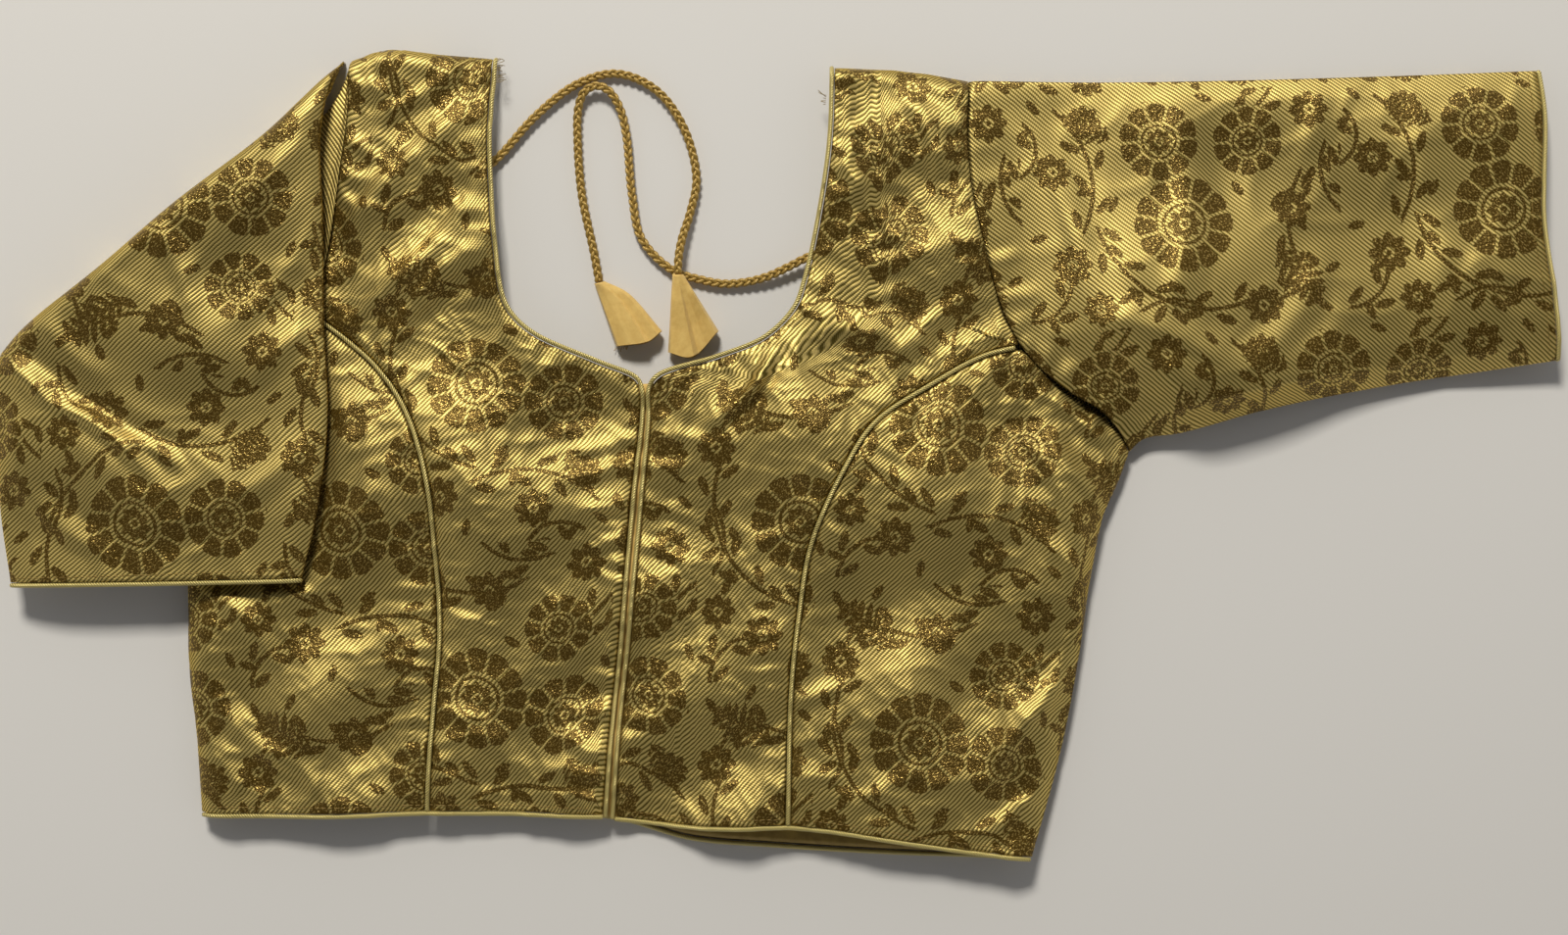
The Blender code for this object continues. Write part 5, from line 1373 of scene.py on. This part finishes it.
def stitches(name, line):
    """Spindles of thread along a line of points, as one mesh."""
    steps = np.arange(STITCH_STEP, run_of(line)[-1] - STITCH_STEP, STITCH_STEP)
    middle = read_line(line, steps)
    ahead = read_line(line, steps + 0.5) - middle
    ahead /= np.linalg.norm(ahead, axis=1)[:, None]
    side = np.cross(ahead, (0.0, 0.0, 1.0))
    side /= np.linalg.norm(side, axis=1)[:, None]
    up = np.cross(side, ahead)
    corners = []
    for share, size in ((-0.5, 0.0), (-0.3, 1.0), (0.3, 1.0), (0.5, 0.0)):
        for turn in ((0.0,) if size == 0 else (0.0, 0.5, 1.0, 1.5)):
            aside = size * STITCH_THICK / 2 * math.cos(turn * math.pi)
            rise = size * STITCH_THICK / 2 * math.sin(turn * math.pi)
            corners.append(middle + ahead * STITCH * share + side * aside + up * rise)
    points = np.stack(corners, axis=1)
    pattern = [(0, 2, 1), (0, 3, 2), (0, 4, 3), (0, 1, 4), (1, 2, 6, 5), (2, 3, 7, 6), (3, 4, 8, 7),
               (4, 1, 5, 8), (9, 5, 6), (9, 6, 7), (9, 7, 8), (9, 8, 5)]
    faces = [tuple(10 * k + i for i in face) for k in range(len(middle)) for face in pattern]
    mesh = bpy.data.meshes.new(name)
    mesh.from_pydata(in_frame(points.reshape(-1, 3)).tolist(), [], faces)
    mesh.materials.append(thread)
    piece = bpy.data.objects.new(name, mesh)
    bpy.context.scene.collection.objects.link(piece)
    return merged(piece, 1e-9)


def edge_stitches(name, tables, inside, start=4.0, end=4.0):
    """Stitches on a front, beside a seam: to its left where inside is over 0."""
    line = piping_line(tables, start, end)
    line = line + to_left(line, inside)
    return stitches(name, np.column_stack([line, front_top(*line.T) + 0.1]))


def sleeve_stitches(name, rings, rows_in):
    """Stitches round a sleeve, on a section some rows in from its hem."""
    ring = rings[-1 - rows_in]
    count = ring.shape[0] // 2
    raised = ring + np.array((0.0, 0.0, 0.1))
    return stitches(name, raised[2:count - 1])


stitch_rows = [
    edge_stitches("stitches_neck_left", (NECK_LEFT,), -3.6, end=OPENING),
    edge_stitches("stitches_neck_right", (NECK_RIGHT,), 3.6, end=OPENING),
    edge_stitches("stitches_hem_left", (HEM_LEFT_SIDE, HEM_LEFT_CENTRE), 4.2),
    edge_stitches("stitches_hem_right", (HEM_RIGHT_CENTRE, HEM_RIGHT_SIDE), 4.2),
    sleeve_stitches("stitches_sleeve_right", sleeve_rings, 2),
    sleeve_stitches("stitches_sleeve_left", flap_rings, 2),
]
print("stitches:", sum(len(row.data.vertices) // 10 for row in stitch_rows))

# %% [markdown]
# ## Cloth cones on the ties
# Each dori ends in a latkan, a square of cotton folded twice into a cone over the cord's knot. The
# folds are sharp, because the cotton was pressed. Profiles across the cone set its facets.

# %% Latkans
LATKAN_LEFT = {
    "neck": ((-88.6, 82.4), (-83.6, 83.4)),
    "first edge": ((-88.6, 82.4), (-77.8, 51.7)),
    "second edge": ((-83.6, 83.4), (-72.1, 77.6), (-55.7, 59.2)),
    "mouth": ((-77.8, 51.7), (-62.3, 54.0), (-55.7, 59.2)),
    "under": (0.0, 0.0, 0.0, 0.0),
    "height": (4.6, 6.5, 8.5, 9.5),
    "facets": ((0.0, 0.0), (0.04, 0.5), (0.3, 0.8), (0.62, 0.93), (0.66, 0.62), (0.9, 0.7), (0.98, 0.4),
               (1.0, 0.0)),
}
LATKAN_RIGHT = {
    "neck": ((-50.6, 86.4), (-45.4, 86.4)),
    "first edge": ((-50.6, 86.4), (-52.9, 48.9)),
    "second edge": ((-45.4, 86.4), (-28.4, 59.2)),
    "mouth": ((-52.9, 48.9), (-41.4, 46.5), (-28.4, 59.2)),
    "under": (4.8, 4.2, 0.6, 0.0),
    "height": (4.6, 6.0, 9.0, 10.0),
    "facets": ((0.0, 0.0), (0.04, 0.45), (0.44, 0.98), (0.52, 0.5), (0.7, 0.42), (0.94, 0.7), (0.98, 0.4),
               (1.0, 0.0)),
}


def latkan(name, cone):
    """A folded cone of cotton, open at its mouth."""
    parts = np.linspace(0, 1, 65)
    lengths = np.r_[0.0, 0.01, 0.03, np.linspace(0.06, 1, 44)]
    grid = coons(smooth_line(cone["neck"], parts), smooth_line(cone["mouth"], parts),
                 smooth_line(cone["first edge"], lengths), smooth_line(cone["second edge"], lengths))
    stations = np.linspace(0, 1, 4)
    under = np.interp(lengths, stations, cone["under"])[:, None]
    height = np.interp(lengths, stations, cone["height"])[:, None]
    round_face = np.sin(math.pi * parts) ** 0.7
    facets = np.interp(parts, *np.transpose(cone["facets"]))
    sharp = ease(0.02, 0.4, lengths)[:, None]
    shape = round_face * (1 - sharp) + facets * sharp
    low = np.repeat(under, len(parts), axis=1)
    middle = low + height * 0.3
    close = np.minimum(1, np.sqrt(lengths / 0.03))[:, None]
    upper = np.dstack([grid, middle + height * 0.7 * shape * close])
    lower = np.dstack([grid, middle - height * 0.3 * round_face * close])[:, -2:0:-1]
    rings = np.concatenate([upper, lower], axis=1)
    around = np.concatenate([rings, rings[:, :1]], axis=1)
    step = np.linalg.norm(np.diff(around, axis=1), axis=2)
    run = np.insert(np.cumsum(step, axis=1), 0, 0.0, axis=1)
    cloth = np.stack([run, around[..., 1]], axis=2)
    piece = rows_mesh(name, rings, cloth, pale_cotton, 0.8, closed=True)
    select_only(piece)
    bpy.ops.object.shade_smooth_by_angle(angle=math.radians(38))
    piece.select_set(False)
    return piece


latkan_left = latkan("latkan_left_cloth", LATKAN_LEFT)
latkan_right = latkan("latkan_right_cloth", LATKAN_RIGHT)

# %% [markdown]
# ## Frayed ends
# Where a strap's edge was cut and not yet trimmed, a few warp threads stand out past the piping, and
# one latkan's mouth is frayed. Each frayed end is a tuft of thin bent threads of uneven length.

# %% Frayed ends
THREAD_END = 0.32
# From, to, the way the threads point, their length, how many
TUFTS = {
    "frayed_strap_left": ((-134.2, 189.4, 8.0), (-135.0, 178.0, 9.5), (1.0, 0.25, -0.2), 3.6, 13),
    "frayed_strap_right": ((23.4, 172.0, 8.5), (23.0, 167.5, 9.0), (-1.0, 0.2, -0.2), 3.0, 6),
    "frayed_latkan_left": ((-78.4, 51.4, 1.0), (-72.0, 52.2, 5.2), (0.1, -1.0, -0.1), 2.6, 9),
}


def tuft(name, start, end, way, length, count):
    """Thin bent threads that stand in a row, as one mesh."""
    rng = np.random.default_rng(len(name))
    threads = []
    for part in np.linspace(0, 1, count):
        root = np.array(start) * (1 - part) + np.array(end) * part
        ahead = np.array(way) + rng.normal(0, 0.22, 3)
        bend = rng.normal(0, 0.3, 3)
        steps = np.linspace(0, length * rng.uniform(0.4, 1.2), 7)[:, None]
        path = root + ahead * steps + bend * steps**2 / length
        path[:, 2] = np.maximum(path[:, 2], THREAD_END)
        threads.append(round_tube(f"{name}_{len(threads)}", path, THREAD_END, thread, sides=5))
    return as_one(name, threads)


tufts = [tuft(name, *shape) for name, shape in TUFTS.items()]
print("frayed ends:", len(tufts))

# %% [markdown]
# ## Light and ground
# The blouse lies on plain pale board. One soft lamp stands above its upper edge, a little to the
# left, about 41 degrees high, as a window would. It rakes the folds, so each shows a bright slope
# and a dark one. A sky that is dark overhead and bright round the edge fills the shadows.

# %% Lights, floor and world
LAMP_FROM = (-0.17, 0.73, 0.66)
LAMP_DISTANCE = 3.4
ZENITH, HORIZON = 0.03, 1.0        # how bright the sky is overhead, and what it gains at the sides
bpy.ops.mesh.primitive_plane_add(size=6.0, location=(0.0, 0.0, -0.0002))
floor = bpy.context.object
floor.name = "pale_board"
board = new_material("pale_grey_board", Base_Color=linear("#dedad2"), Roughness=0.85)[0]
floor.data.materials.append(board)

bpy.ops.object.light_add(type="AREA", location=[LAMP_DISTANCE * c for c in LAMP_FROM])
lamp = bpy.context.object
lamp.name = "window_lamp"
lamp.data.shape = "RECTANGLE"
lamp.data.size = 0.8
lamp.data.size_y = 0.6
lamp.data.energy = 106.0
lamp.data.color = (1.0, 0.98, 0.94)
turn = np.arctan2(math.hypot(LAMP_FROM[0], LAMP_FROM[1]), LAMP_FROM[2])
lamp.rotation_euler = (turn, 0.0, math.atan2(LAMP_FROM[1], LAMP_FROM[0]) + math.pi / 2)

world = bpy.context.scene.world or bpy.data.worlds.new("studio")
bpy.context.scene.world = world
world.use_nodes = True
tree = world.node_tree
sky = tree.nodes["Background"]
sky.inputs[0].default_value = linear("#e9eaee")
way = add(tree, "SeparateXYZ", [add(tree, "TexCoord")])
low = add(tree, "MapRange", [way.outputs["Z"], 0.0, 1.0, 1.0, 0.0])
low = add(tree, "Math", [low, 1.5], operation="POWER")
low = add(tree, "Math", [low, HORIZON, ZENITH], operation="MULTIPLY_ADD")
tree.links.new(low.outputs[0], sky.inputs[1])
bpy.context.scene.view_settings.view_transform = "Standard"

# %% [markdown]
# ## What stands for what
# Every piece rides the blouse's one body and replaces the frame's piece of the same name.

# %% Pieces on the body
STANDS_FOR = {
    back_panel: ("back_panel", "brocade_back"),
    back_hem_facing: ("back_hem_facing", "plain_lining"),
    placket: ("placket", "pale_cloth"),
    front_left_side: ("front_left_side", "gold_brocade"),
    front_left_centre: ("front_left_centre", "gold_brocade"),
    front_right_centre: ("front_right_centre", "gold_brocade"),
    front_right_side: ("front_right_side", "gold_brocade"),
    sleeve_right: ("sleeve_right", "gold_brocade"),
    sleeve_left: ("sleeve_left", "gold_brocade"),
    sleeve_left_under: ("sleeve_left_under", "gold_brocade"),
    cords["dori_left_plait"][0]: ("dori_left", "tie_cord"),
    cords["dori_right_plait"][0]: ("dori_right", "tie_cord"),
    latkan_left: ("latkan_left", "pale_cloth"),
    latkan_right: ("latkan_right", "pale_cloth"),
}
STANDS_FOR.update({tube: (node, "piping") for node, tube in pipings.items()})
for piece, (node, slot) in STANDS_FOR.items():
    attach(piece, "root")
    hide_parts(node)
for row in stitch_rows + tufts:
    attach(row, "root")
